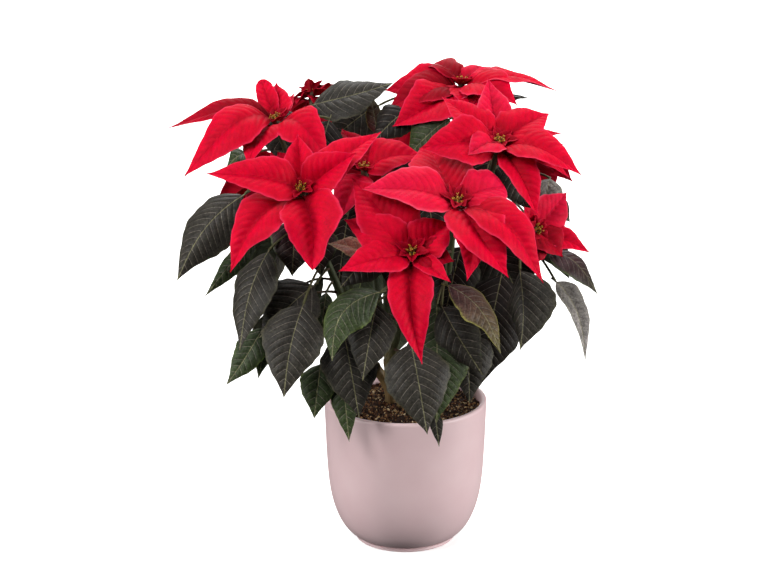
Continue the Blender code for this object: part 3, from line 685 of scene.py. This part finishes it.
# Living leaf tissue: a waxy skin over soft green or red cells. Its veins are sunk and of another colour, its
# skin is finely cellular, and fine down gives it a sheen. A lateral vein is drawn about 0.5 mm wide and the
# midrib 0.9 mm. The skin's cells are drawn 1.8 mm wide, far wider than real ones, so that they show.
redTissue = {"mottle": 0.14, "grain": 0.05, "glow": 0.1, "glowRadius": (1.0, 0.06, 0.05)}
greenTissue = {"glow": 0.03, "glowRadius": (0.4, 0.8, 0.15)}
# crease is painted shade: how much the colour darkens in the creases towards each vein
tissues = {
    "redBractFace": {
        **redTissue, "vein": "#8a0010", "veinShare": 0.03, "rib": "#a00820", "ribShare": 0.3, "crease": 0.05,
        "quilt": 0.32, "roughness": 0.6, "gloss": 0.1, "sheen": 0.015, "sheenTint": "#ff5f86"},
    "redBractBack": {
        **redTissue, "vein": "#a00f22", "veinShare": 0.3, "rib": "#c83038", "ribShare": 0.5, "crease": 0.1,
        "quilt": 0.35, "roughness": 0.65, "gloss": 0.12, "sheen": 0.03, "sheenTint": "#ff8a98",
        "turn": "#a80c20", "turnShare": 0.5},
    "greenLeafFace": {
        **greenTissue, "vein": "#968c80", "veinShare": 0.5, "rib": "#8c8864", "ribShare": 0.6, "crease": 0.1,
        "quilt": 0.35, "roughness": 0.5, "gloss": 0.24, "sheen": 0.04, "sheenTint": "#dcd8d6",
        "mottle": 0.3, "grain": 0.42},
    "greenLeafBack": {
        **greenTissue, "vein": "#80865e", "veinShare": 0.45, "rib": "#8a9460", "ribShare": 0.8, "crease": 0.1,
        "quilt": 0.4, "roughness": 0.65, "gloss": 0.2, "sheen": 0.06, "sheenTint": "#d8e0d0",
        "mottle": 0.2, "grain": 0.15, "turn": "#59634c", "turnShare": 0.6},
}
tissueForm = {
    "patch": 9.0, "net": 2.4, "netWidth": 0.3, "cell": 1.8,
    "veinDepth": 0.15, "netDepth": 0.08, "cellDepth": 0.05, "relief": 0.8,
    # a lateral vein starts at the first of these nearnesses and is full at the second, and the midrib is full
    # up to the first of these millimetres across and ends at the second
    "lateral": (0.44, 0.49), "midrib": (0.2, 0.7),
    # between these |s| the veins and creases fade, and this share of them is left at the edge
    "fading": (0.45, 1.0), "faded": 0.1,
}


def makeTissue(name):
    look = tissues[name]
    made, tree, shader = newMaterial(name, {
        "Roughness": look["roughness"],
        "Metallic": 0.0,
        "IOR": 1.42,
        "Specular IOR Level": look["gloss"],
        "Sheen Weight": look["sheen"],
        "Sheen Roughness": 0.4,
        "Sheen Tint": rgba(look["sheenTint"]),
        "Subsurface Weight": look["glow"],
        "Subsurface Radius": look["glowRadius"],
        "Subsurface Scale": 0.001,
    })
    place = addNode(tree, "ShaderNodeTexCoord").outputs["Object"]
    veins = attribute(tree, "veins", "Vector")
    count, across, outward = addNode(tree, "ShaderNodeSeparateXYZ", inputs={"Vector": veins}).outputs
    # nearness is 0.5 at a lateral vein, where the count of veins is whole, and 0 halfway between two. The
    # tissue sinks softly towards a vein, and both fade towards the edge
    centred = calculate(tree, "SUBTRACT", calculate(tree, "FRACT", count), 0.5)
    nearness = calculate(tree, "ABSOLUTE", centred)
    fading = softStep(tree, outward, *tissueForm["fading"], 1.0, tissueForm["faded"])
    lateral = times(tree, softStep(tree, nearness, *tissueForm["lateral"]), fading)
    crease = times(tree, softStep(tree, nearness, 0.0, 0.5), fading)
    middle = softStep(tree, across, *tissueForm["midrib"], 1.0, 0.0)
    # the colour: the paint, another hue below, veins and midrib, patches, painted crease shade and grain
    patches = noise(tree, place, tissueForm["patch"], detail=3.0, roughness=0.6)
    cells = noise(tree, place, tissueForm["cell"], detail=2.0)
    colour = attribute(tree, "paint", "Color")
    if "turn" in look:
        colour = mixed(tree, look["turnShare"], colour, rgba(look["turn"]))
    colour = mixed(tree, times(tree, lateral, look["veinShare"]), colour, rgba(look["vein"]))
    colour = mixed(tree, times(tree, middle, look["ribShare"]), colour, rgba(look["rib"]))
    # painted shade: the colour darkens softly in the creases towards each vein
    creaseShade = times(tree, crease, look["crease"])
    light = calculate(tree, "SUBTRACT", aroundOne(tree, patches, look["mottle"]), creaseShade)
    light = times(tree, light, aroundOne(tree, cells, look["grain"]))
    # the height in millimetres: sunk veins, a net of fine veins, raised cells, and tissue sunk at the veins
    lines = calculate(tree, "MAXIMUM", lateral, middle)
    net = addNode(tree, "ShaderNodeTexVoronoi", {"feature": "DISTANCE_TO_EDGE"},
                  {"Vector": place, "Scale": 1.0 / (tissueForm["net"] * mm)}).outputs["Distance"]
    netting = remap(tree, net, 0.0, tissueForm["netWidth"], -tissueForm["netDepth"], 0.0)
    height = calculate(tree, "ADD", times(tree, lines, -tissueForm["veinDepth"]), netting)
    height = calculate(tree, "ADD", height, times(tree, cells, tissueForm["cellDepth"]))
    height = calculate(tree, "SUBTRACT", height, times(tree, crease, look["quilt"]))
    linkSurface(tree, shader, scaled(tree, colour, light), height, depth=1.0, strength=tissueForm["relief"])
    return made


# Skins painted along the part, with a fine grain: bark and stalks, flower cups, crumbs of peat and grit
skins = {
    "stemBark": {"grain": 1.6, "along": 0.25, "shade": 0.35, "depth": 0.35, "rough": 0.6, "glow": 0.0},
    "waxyFlowerCup": {"grain": 0.8, "along": 1.0, "shade": 0.12, "depth": 0.08, "rough": 0.35, "glow": 0.15},
    "peatAndGrit": {"grain": 0.9, "along": 1.0, "shade": 0.45, "depth": 0.5, "rough": 0.92, "glow": 0.0},
}


def makeSkin(name):
    look = skins[name]
    made, tree, shader = newMaterial(name, {
        "Roughness": look["rough"], "Metallic": 0.0, "IOR": 1.45,
        "Subsurface Weight": look["glow"], "Subsurface Radius": (1.0, 0.6, 0.2), "Subsurface Scale": 0.001,
    })
    place = addNode(tree, "ShaderNodeTexCoord").outputs["Object"]
    inputs = {"Vector": place, "Scale": (1.0, 1.0, look["along"])}
    stretched = addNode(tree, "ShaderNodeMapping", inputs=inputs)
    grain = noise(tree, stretched.outputs["Vector"], look["grain"], detail=4.0, roughness=0.65)
    colour = scaled(tree, attribute(tree, "paint", "Color"), aroundOne(tree, grain, look["shade"]))
    linkSurface(tree, shader, colour, grain, look["depth"], strength=0.6)
    return made


# Bisque ceramic under a thin matt glaze: one soft colour, very slight clouding, and a fine orange-peel
glaze = {"colour": "#ecd0d1", "cloud": "#e4c3c5", "cloudSize": 28.0, "peelSize": 1.1, "peelDepth": 0.03}


def makeGlaze():
    made, tree, shader = newMaterial("mattBlushGlaze", {
        "Roughness": 0.5, "Metallic": 0.0, "IOR": 1.5, "Coat Weight": 0.12, "Coat Roughness": 0.45})
    place = addNode(tree, "ShaderNodeTexCoord").outputs["Object"]
    clouds = noise(tree, place, glaze["cloudSize"], detail=3.0)
    peel = noise(tree, place, glaze["peelSize"], detail=2.0)
    colour = mixed(tree, clouds, rgba(glaze["colour"]), rgba(glaze["cloud"]))
    linkSurface(tree, shader, colour, peel, glaze["peelDepth"], strength=0.5)
    return made


bractFinishes = [makeTissue("redBractFace"), makeTissue("redBractBack")]
leafFinishes = [makeTissue("greenLeafFace"), makeTissue("greenLeafBack")]
stemBark = makeSkin("stemBark")
waxyFlowerCup = makeSkin("waxyFlowerCup")
peatAndGrit = makeSkin("peatAndGrit")
mattBlushGlaze = makeGlaze()
print("materials made")


# Stems, branches and leaf stalks

stems = {
    "soilLevel": 126.0,
    "depth": 37.7,
    "trunkRadius": 5.2,
    "trunkTopRadius": 4.6,
    "trunkFoot": 8.0,
    "trunkPull": 18.0,
    "branchRadius": 3.8,
    "twigRadius": 2.4,
    "tipRadius": 3.2,
    "branchStep": 9.0,
    "straight": 8.0,
    "straightPoints": 8,
    "branchPoints": 28,
    "branchSides": 14,
    "trunkPoints": 18,
    "trunkSides": 18,
    "pull": 0.3,
    "underBloom": 15.3,
    "jointStep": 23.0,
    "jointSwell": 0.16,
    "jointReach": 1.6,
    "bark": "#6e5834",
    "young": "#3a4022",
    "tip": "#4a3020",
    "barkTop": 175.0,
    "barkFade": 25.0,
    "tipReach": 40.0,
}
stalks = {
    "radius": 1.15, "rootRadius": 1.7, "rootReach": 0.12, "into": 0.05, "bow": 0.15, "points": 16, "sides": 8,
    "colour": "#432a20", "leafEnd": "#50502c",
}


def raised(height):
    return np.array((0.0, 0.0, height))


def branchLine(start, middle, face):
    # a Bezier curve that leaves upwards and arrives along the bloom's face, then runs straight to its middle
    bend = middle - face * (stems["underBloom"] + stems["straight"])
    reach = bend - start
    length = np.linalg.norm(reach)
    leave = start + np.array((reach[0], reach[1], length)) * stems["pull"]
    curve = bezier(start, leave, bend - face * length * stems["pull"], bend, stems["branchPoints"])
    return np.concatenate([curve, np.linspace(bend, middle, stems["straightPoints"] + 1)[1:]])


def distanceAlong(line):
    # the summed lengths of a line's steps up to each point
    return np.concatenate([[0.0], np.cumsum(np.linalg.norm(np.diff(line, axis=0), axis=1))])


def stemColours(line):
    # bark below barkTop, then young green wood, then a redder tip over the last tipReach
    fade = stems["barkFade"]
    height = np.clip((line[:, 2] - stems["barkTop"] + fade) / (2 * fade), 0.0, 1.0)[:, None]
    travelled = distanceAlong(line)
    last = np.clip(1.0 - (travelled[-1] - travelled) / stems["tipReach"], 0.0, 1.0)[:, None] * height
    colour = linear(stems["bark"]) * (1 - height) + linear(stems["young"]) * height
    return colour * (1 - last) + linear(stems["tip"]) * last


def paintedTube(line, radii, colours, sides):
    return turnedPart(tubePoints(line, radii, sides), withEnds(colours)[:, None])


def stemPart(line, radii, sides):
    # a tube whose radius swells by jointSwell times a bell at each leaf joint, jointStep apart
    fromJoint = (distanceAlong(line) % stems["jointStep"]) - stems["jointStep"] / 2
    radii = radii * (1.0 + stems["jointSwell"] * bell(fromJoint, stems["jointReach"]))
    return paintedTube(line, radii, stemColours(line), sides)


def stalkPart(root, start, into):
    # a leaf stalk: a parabola from the stem through a bend raised by bow, thicker at its root
    bend = (root + start) / 2 + raised(np.linalg.norm(start - root) * stalks["bow"])
    control = 2 * bend - (root + into) / 2
    t = np.linspace(0.0, 1.0, stalks["points"])[:, None]
    line = root * (1 - t) ** 2 + control * 2 * (1 - t) * t + into * t**2
    thicker = stalks["rootRadius"] - stalks["radius"]
    radii = stalks["radius"] + thicker * bell(t[:, 0], stalks["rootReach"])
    colours = linear(stalks["colour"]) * (1 - t) + linear(stalks["leafEnd"]) * t
    return paintedTube(line, radii, colours, stalks["sides"])


def trunkLine(foot, fork):
    # straight up through the mix, then a Bezier curve that leaves and arrives upwards
    top = foot + raised(stems["soilLevel"] + stems["trunkFoot"])
    rise = raised(stems["trunkPull"])
    curve = bezier(top, top + rise, fork - rise, fork, stems["trunkPoints"])
    return np.concatenate([[foot + raised(stems["soilLevel"] - stems["depth"])], curve])


def buildCutting(name, seed):
    plan = cuttings[name]
    fork = np.array(plan["fork"], float)
    wood, green, near = [], [], []
    straight = stems["straightPoints"]
    for number, borne in enumerate(key for key in blooms if blooms[key]["cutting"] == name):
        line = branchLine(fork - raised(stems["branchStep"] * number), *bloomMiddle(borne))
        share = np.linspace(0.0, 1.0, len(line) - straight)
        taper = stems["branchRadius"] + (stems["twigRadius"] - stems["branchRadius"]) * share
        radii = np.concatenate([taper, np.linspace(stems["twigRadius"], stems["tipRadius"], straight)])
        wood.append(stemPart(line, radii, stems["branchSides"]))
        near.append(line[:-straight])
    trunk = trunkLine(np.array((*plan["foot"], 0.0), float), fork)
    radii = np.linspace(stems["trunkRadius"], stems["trunkTopRadius"], len(trunk))
    wood.append(stemPart(trunk, radii, stems["trunkSides"]))
    near = np.concatenate([*near, trunk])
    for number, look in enumerate(plan["leaves"]):
        start, end = seenFromFront(look["from"]), seenFromFront(look["to"])
        face = directionFromFront(look["face"])
        green.append(bladePart(start, end, face, look, leafColours[look["kind"]], seed + number))
        # its stalk runs from the nearest point of a branch or the trunk a little way under the midrib
        root = near[np.argmin(np.linalg.norm(near - start, axis=1))]
        upper = upperSide(start, end, face, look["roll"])
        wood.append(stalkPart(root, start, midribPoints(stalks["into"], start, end, upper, look)))
    makePiece("stems_" + name, wood, [stemBark], ["cutting_" + name], weld=True)
    makePiece("leaves_" + name, green, leafFinishes)


# Blooms


def bloomMiddle(name):
    return seenFromFront(blooms[name]["middle"]), directionFromFront(blooms[name]["facing"])


def acrossFace(face):
    # two directions square to a bloom's face and to each other
    sideways = unit(np.cross(face, upward + 0.3 * rightward))
    return sideways, np.cross(face, sideways)


whorl = {
    "rootRadius": 1.2,
    "highestRoot": 2.6,
    "rootDrop": 0.06,
    "bractlets": 6,
    "bractletTurn": 0.3,
    "bractletRoot": 2.0,
    "bractletLength": (12.0, 7.0),
    "bractletWidth": (9.0, 3.0),
    "bractletOut": 0.9,
    "bractletUp": 0.45,
    "bractletLook": {"arch": 2.0, "fold": 22, "blunt": 0.4, "quilt": 0.1},
    "seeds": 50,  # for each bloom, of which the bractlets take the last 20
    "bractletSeeds": 20,
}


def buildBracts(name, seed):
    middle, face = bloomMiddle(name)
    draw = np.random.default_rng(seed)
    firstSeed = seed * whorl["seeds"]
    parts = []
    for number, look in enumerate(blooms[name]["bracts"]):
        tip = seenFromFront(np.array(blooms[name]["middle"]) + look["tip"])
        reach = tip - middle
        outward = unit(reach - face * np.dot(reach, face))
        depth = whorl["highestRoot"] + whorl["rootDrop"] * np.linalg.norm(reach)
        root = middle - face * depth + outward * whorl["rootRadius"]
        parts.append(bladePart(root, tip, face, look, bractColours[look["kind"]], firstSeed + number))
    # a few very small bracts stand close round the flowers
    turn = draw.random() * 2 * math.pi
    sideways, over = acrossFace(face)
    for number in range(whorl["bractlets"]):
        angle = turn + 2 * math.pi * (number + whorl["bractletTurn"] * draw.random()) / whorl["bractlets"]
        outward = np.cos(angle) * sideways + np.sin(angle) * over
        length = drawn(draw, whorl["bractletLength"])
        start = middle - face + outward * whorl["bractletRoot"]
        end = middle + outward * length * whorl["bractletOut"] + face * length * whorl["bractletUp"]
        width = drawn(draw, whorl["bractletWidth"])
        look = bract(None, width, **whorl["bractletLook"])
        ownSeed = firstSeed + whorl["seeds"] - whorl["bractletSeeds"] + number
        # the bractlets take the shaded red, painted shade at the bloom's middle
        parts.append(bladePart(start, end, face, look, bractColours["deep"], ownSeed))
    makePiece("bracts." + name, parts, bractFinishes, ["bracts_" + name])


cup = {
    "count": 6,
    "scale": 0.74,
    "size": (0.85, 0.3),
    "ring": 2.5,
    "turn": 0.35,
    "rise": (0.4, 1.0),
    "lean": (24.0, 10.0),
    "profile": [
        (0.0, 0.0), (1.1, 0.2), (1.75, 1.4), (1.9, 2.7), (1.55, 3.9), (1.25, 4.3), (0.95, 4.0), (0.5, 3.6),
        (0.0, 3.5)],
    "profilePoints": 15,
    "sides": 12,
    "height": 4.3,
    "rimFrom": 0.6,
    "foot": "#4a5a1a",
    "side": "#6c661c",
    "rim": "#a04a14",
    "gland": "#c47c1a",
    "glandSize": (1.3, 0.9, 0.75),
    "glandGrid": (6, 8),
    "glandOut": 1.75,
    "glandUp": 3.3,
    "stamen": "#a81426",
    "stamens": 5,
    "stamenUp": 3.4,
    "stamenOut": 0.5,
    "stamenTilt": 0.5,
    "stamenLength": 2.2,
    "stamenShare": (0.6, 0.5),
    "stamenRadius": 0.24,
    "stamenGrid": (4, 5),
    "pollen": "#dcb040",
    "pollenSize": (0.42, 0.42, 0.36),
    "pollenGrid": (4, 6),
}


def ballPoints(size, rings, sides):
    # an ellipsoid: size x (sin p cos a, sin p sin a, cos p), where p runs from almost pi down to almost 0
    almostNothing = 1e-3
    polar = np.linspace(almostNothing, math.pi - almostNothing, rings)[::-1, None]
    angle = roundTurn(sides)
    x, y = np.sin(polar) * np.cos(angle), np.sin(polar) * np.sin(angle)
    return np.stack([x, y, np.cos(polar) + 0 * angle], axis=-1) * np.array(size)


def placed(points, origin, sideways, over, axis):
    # local (x, y, z) to origin + x sideways + y over + z axis
    return origin + points[..., :1] * sideways + points[..., 1:2] * over + points[..., 2:] * axis


def cupColours(height):
    # from the foot's colour to the side's up to rimFrom of the height, then to the rim's
    foot, side, rim = (linear(cup[key]) for key in ("foot", "side", "rim"))
    lower = foot + (side - foot) * height / cup["rimFrom"]
    upper = side + (rim - side) * (height - cup["rimFrom"]) / (1.0 - cup["rimFrom"])
    return np.where(height < cup["rimFrom"], lower, upper)


def buildCyathia(name, seed):
    middle, face = bloomMiddle(name)
    draw = np.random.default_rng(seed)
    sideways, over = acrossFace(face)
    profile = smoothLine(cup["profile"], cup["profilePoints"])
    colours = cupColours(np.clip(profile[:, 1:] / cup["height"], 0.0, 1.0))
    parts = []
    for number in range(cup["count"]):
        central = number == 0
        angle = 2 * math.pi * (number + cup["turn"] * draw.random()) / (cup["count"] - 1)
        outward = math.cos(angle) * sideways + math.sin(angle) * over
        lean = 0.0 if central else math.radians(drawn(draw, cup["lean"]))
        axis = face * math.cos(lean) + outward * math.sin(lean)
        x = unit(outward * math.cos(lean) - face * math.sin(lean))
        y = np.cross(axis, x)
        origin = middle + face * drawn(draw, cup["rise"]) + outward * (0.0 if central else cup["ring"])
        size = cup["scale"] * drawn(draw, cup["size"])
        body = turnedPoints(profile * size, cup["sides"])
        parts.append(turnedPart(placed(body, origin, x, y, axis), colours[:, None]))
        gland = ballPoints(cup["glandSize"], *cup["glandGrid"]) * size
        spot = origin + axis * cup["glandUp"] * size + x * cup["glandOut"] * size
        parts.append(turnedPart(placed(gland, spot, y, x, axis), linear(cup["gland"])))
        for _ in range(cup["stamens"]):
            tilt = cup["stamenTilt"] * draw.random()
            turn = 2 * math.pi * draw.random()
            aside = math.cos(turn) * x + math.sin(turn) * y
            way = unit(axis + tilt * aside)
            base = origin + axis * cup["stamenUp"] * size + cup["stamenOut"] * aside
            tip = base + way * cup["stamenLength"] * drawn(draw, cup["stamenShare"])
            points, sides = cup["stamenGrid"]
            tube = tubePoints(np.linspace(base, tip, points), np.full(points, cup["stamenRadius"]), sides)
            parts.append(turnedPart(tube, linear(cup["stamen"])))
            ball = ballPoints(cup["pollenSize"], *cup["pollenGrid"])
            parts.append(turnedPart(placed(ball, tip, x, y, way), linear(cup["pollen"])))
    makePiece("cyathia." + name, parts, [waxyFlowerCup], ["cyathia_" + name], weld=True)


# The pot and its mix

pot = {
    "rimRadius": 75.0,
    "height": 136.0,
    "wall": 5.0,
    "floor": 7.0,
    "floorCorner": (4.0, 3.0),
    "footRadius": 46.0,
    "footHeight": 3.0,
    "footNeck": (2.0, 0.9),
    "footBead": 1.0,
    "footEdge": 0.4,
    "sides": 160,
    "insideRings": 40,
    "lipRings": 11,
    "sideRings": 64,
    "beadRings": 6,
    "beadTurn": 0.6,  # of half a circle
    # shares of the rim radius and of the height, down the outer side
    "side": [(0.994, 0.88), (0.975, 0.62), (0.945, 0.40), (0.885, 0.24), (0.79, 0.12), (0.67, 0.045)],
}


def potSide():
    # the outer side from under the lip to above the foot, on a smooth line through the profile's points
    points = [(pot["rimRadius"], pot["height"] - pot["wall"] / 2)]
    points += [(pot["rimRadius"] * radius, pot["height"] * height) for radius, height in pot["side"]]
    points += [(pot["footRadius"] - pot["footNeck"][0], pot["footHeight"] + pot["footNeck"][1])]
    return smoothLine(points, pot["sideRings"])


def innerRadius(height):
    # one wall inside the outer side, at this height
    side = potSide()[::-1]
    return np.interp(height, side[:, 1], side[:, 0]) - pot["wall"]


def buildPot():
    # the profile runs up the inside, over a round lip, down the outside and under the foot
    half, middle = pot["wall"] / 2, pot["rimRadius"] - pot["wall"] / 2
    inward, corner = pot["floorCorner"][0], pot["floor"] + pot["floorCorner"][1]
    heights = np.linspace(corner, pot["height"] - half, pot["insideRings"])
    inside = np.stack([innerRadius(heights), heights], axis=1)
    floor = np.array([(0.0, pot["floor"]), (innerRadius(corner) - inward, pot["floor"])])
    turn = np.linspace(math.pi, 0.0, pot["lipRings"])[1:-1, None]
    lip = np.concatenate([middle + half * np.cos(turn), pot["height"] - half + half * np.sin(turn)], axis=1)
    turn = np.linspace(math.pi * pot["beadTurn"], 0.0, pot["beadRings"])[:, None]
    foot, bead, edge = pot["footRadius"], pot["footBead"], pot["footEdge"]
    beading = [foot - bead + bead * np.cos(turn), pot["footHeight"] - bead + bead * np.sin(turn)]
    under = np.array([(foot, edge), (foot - edge, 0.0), (0.0, 0.0)])
    profile = np.concatenate([floor, inside, lip, potSide(), np.concatenate(beading, axis=1), under])
    part = turnedPart(turnedPoints(profile, pot["sides"]), linear(glaze["colour"]))
    part["quads"] = part["quads"][:, ::-1]
    makePiece("ceramicPot", [part], [mattBlushGlaze], ["pot"], weld=True, sharp=40)


soil = {
    "radius": 69.5,
    "crown": 3.0,
    "relief": 0.9,
    "waves": 18,
    "waveLength": (4.0, 16.0),
    "seed": 5,
    "sides": 150,
    "topRings": 56,
    "sideRings": 12,
    "pole": 0.02,  # radius of the last ring round the middle, above and below
    "edgeDrop": 3.0,
    "clearance": 0.5,
    "corner": (5.0, 3.5),
    "colour": "#332014",
    "crumbs": 3900,
    "crumbRoom": 1.5,  # inside the wall
    "crumbSize": (0.45, 1.4),
    "crumbRise": 0.25,
    "crumbStretch": (0.6, 0.7),
    "crumbLumps": 0.15,
    "crumbShade": (0.8, 0.4),
    "crumbRings": 5,
    "crumbSides": 6,
    "crumbColours": ["#3b2416", "#5f3c24", "#8a6340", "#b48f62", "#dcc49c"],
    "crumbShares": [0.22, 0.28, 0.23, 0.16, 0.11],
}


def soilHeight(x, y, waves):
    # the crown, a low cone, plus sin(a x + b y + c) of each wave
    top = stems["soilLevel"] + soil["crown"] * (1.0 - np.hypot(x, y) / soil["radius"])
    phase = x[..., None] * waves[:, 0] + y[..., None] * waves[:, 1] + waves[:, 2]
    return top + soil["relief"] * np.sin(phase).sum(axis=-1) / math.sqrt(len(waves))


def buildSoil():
    draw = np.random.default_rng(soil["seed"])
    size = 2 * math.pi / drawn(draw, soil["waveLength"], soil["waves"])
    angle = 2 * math.pi * draw.random(soil["waves"])
    waves = [size * np.cos(angle), size * np.sin(angle), 2 * math.pi * draw.random(soil["waves"])]
    waves = np.stack(waves, axis=1)
    rings = np.linspace(soil["radius"], soil["pole"], soil["topRings"])
    top = turnedPoints(np.stack([rings, rings * 0], axis=1), soil["sides"])
    top[..., 2] = soilHeight(top[..., 0], top[..., 1], waves)
    corner, bottom = pot["floor"] + soil["corner"][1], pot["floor"] + soil["clearance"]
    depth = np.linspace(stems["soilLevel"] - soil["edgeDrop"], corner, soil["sideRings"])
    side = np.stack([innerRadius(depth) - soil["clearance"], depth], axis=1)[::-1]
    base = np.array([(soil["pole"], bottom), (innerRadius(corner) - soil["corner"][0], bottom)])
    body = turnedPoints(np.concatenate([base, side]), soil["sides"])
    part = turnedPart(np.concatenate([body, top]), linear(soil["colour"]))
    makePiece("pottingMix", [part], [peatAndGrit], ["soil"], weld=True)
    makePiece("crumbs", [crumbsPart(draw, waves)], [peatAndGrit], weld=True, sharp=35)


def crumbsPart(draw, waves):
    # lumps of a few faces, each stretched and turned at random, half sunk in the top
    count, rings, sides = soil["crumbs"], soil["crumbRings"], soil["crumbSides"]
    corners = rings * sides
    lump = ballPoints((1.0, 1.0, 1.0), rings, sides)
    away = (soil["radius"] - soil["crumbRoom"]) * np.sqrt(draw.random(count))
    angle = 2 * math.pi * draw.random(count)
    x, y = away * np.cos(angle), away * np.sin(angle)
    small, large = soil["crumbSize"]
    radius = small + (large - small) * draw.random(count) ** 2
    centre = np.stack([x, y, soilHeight(x, y, waves) + soil["crumbRise"] * radius], axis=1)
    turn = np.linalg.qr(draw.normal(size=(count, 3, 3)))[0]
    turn *= np.sign(np.linalg.det(turn))[:, None, None]
    stretch = drawn(draw, soil["crumbStretch"], (count, 1, 3)) * radius[:, None, None]
    lumps = 1 + soil["crumbLumps"] * draw.normal(size=(count, corners, 1))
    shapes = (lump.reshape(1, -1, 3) * lumps) * stretch
    shapes[:, :sides] = shapes[:, :1]
    shapes[:, -sides:] = shapes[:, -1:]
    shapes = np.einsum("nij,nkj->nki", turn, shapes) + centre[:, None]
    quads = gridQuads(rings, sides, wrap=True)
    quads = (quads[None] + corners * np.arange(count)[:, None, None]).reshape(-1, 4)
    choice = draw.choice(len(soil["crumbColours"]), size=count, p=soil["crumbShares"])
    colours = np.array([linear(code) for code in soil["crumbColours"]])[choice]
    colours = colours * drawn(draw, soil["crumbShade"], (count, 1))
    return {
        "points": shapes.reshape(-1, 3),
        "quads": quads,
        "paint": np.repeat(colours, corners, axis=0),
        "veins": np.zeros((count * corners, 3)),
        "finish": np.zeros(len(quads)),
    }


buildPot()
buildSoil()
print("pot and mix made")
# each cutting has a hundred seeds for its leaves
for place, name in enumerate(cuttings):
    buildCutting(name, 100 * place)
    print("cutting made:", name)
for place, name in enumerate(blooms):
    buildBracts(name, 1 + place)
    buildCyathia(name, 1 + place)
print("blooms made")


# The studio: a pale floor, soft lights and the camera, in metres and watts

studio = {
    "floorColour": "#f0efee", "floorGlow": 0.7, "floorSize": 14.0, "airColour": "#fbfbff", "airLight": 0.035,
}
softboxes = {
    "keySoftbox": {"at": (-1.2, -1.3, 1.8), "aim": (0.0, 0.0, 0.3), "size": (0.8, 0.8), "power": 29.0},
    "topSoftbox": {"at": (0.3, -0.7, 1.9), "aim": (0.0, 0.0, 0.3), "size": (1.2, 1.0), "power": 9.0},
    "rightSoftbox": {"at": (2.3, -0.7, 0.5), "aim": (0.0, 0.0, 0.1), "size": (0.9, 1.0), "power": 58.0},
    "leftSoftbox": {"at": (-2.3, -0.8, 0.5), "aim": (0.0, 0.0, 0.1), "size": (0.9, 1.0), "power": 34.0},
    "backSoftbox": {"at": (0.0, 2.4, 0.8), "aim": (0.0, 0.0, 0.3), "size": (1.2, 0.9), "power": 14.0},
    "floorWash": {"at": (0.0, 2.2, 2.6), "aim": (0.0, 2.2, 0.0), "size": (3.0, 2.4), "power": 110.0},
}
camera = {
    "at": (-0.018, -2.300, 0.943), "down": 17.0, "focalPixels": 2632.0, "imageWidth": 772.0, "sensor": 36.0,
}


def placeObject(name, data, place=(0.0, 0.0, 0.0), turn=(0.0, 0.0, 0.0)):
    made = bpy.data.objects.new(name, data)
    made.location = place
    made.rotation_euler = turn
    bpy.context.scene.collection.objects.link(made)
    return made


def buildFloor():
    # a lit white sheet, which throws no light back up at the plant
    half = studio["floorSize"] / 2
    mesh = bpy.data.meshes.new("floor")
    corners = [(-half, -half, 0), (half, -half, 0), (half, half, 0), (-half, half, 0)]
    mesh.from_pydata(corners, [], [(0, 1, 2, 3)])
    made, _, _ = newMaterial("palePaintedFloor", {
        "Base Color": rgba(studio["floorColour"]), "Roughness": 0.8, "Metallic": 0.0,
        "Emission Color": rgba(studio["floorColour"]), "Emission Strength": studio["floorGlow"]})
    mesh.materials.append(made)
    floor = placeObject("floor", mesh)
    floor.visible_diffuse = False
    floor.visible_glossy = False


def buildLights():
    for name, light in softboxes.items():
        lamp = bpy.data.lights.new(name, "AREA")
        lamp.shape = "RECTANGLE"
        lamp.size, lamp.size_y = light["size"]
        lamp.energy = light["power"]
        way = mathutils.Vector(light["aim"]) - mathutils.Vector(light["at"])
        placeObject(name, lamp, light["at"], way.to_track_quat("-Z", "Y").to_euler())
    world = bpy.data.worlds.new("studioAir")
    world.use_nodes = True
    air = world.node_tree.nodes["Background"].inputs
    air["Color"].default_value = rgba(studio["airColour"])
    air["Strength"].default_value = studio["airLight"]
    bpy.context.scene.world = world
    bpy.context.scene.view_settings.view_transform = "Standard"


def buildCamera():
    lens = bpy.data.cameras.new("camera")
    lens.sensor_width = camera["sensor"]
    lens.lens = camera["focalPixels"] * camera["sensor"] / camera["imageWidth"]
    tilt = math.radians(90.0 - camera["down"])
    bpy.context.scene.camera = placeObject("camera", lens, camera["at"], (tilt, 0.0, 0.0))


buildFloor()
buildLights()
buildCamera()
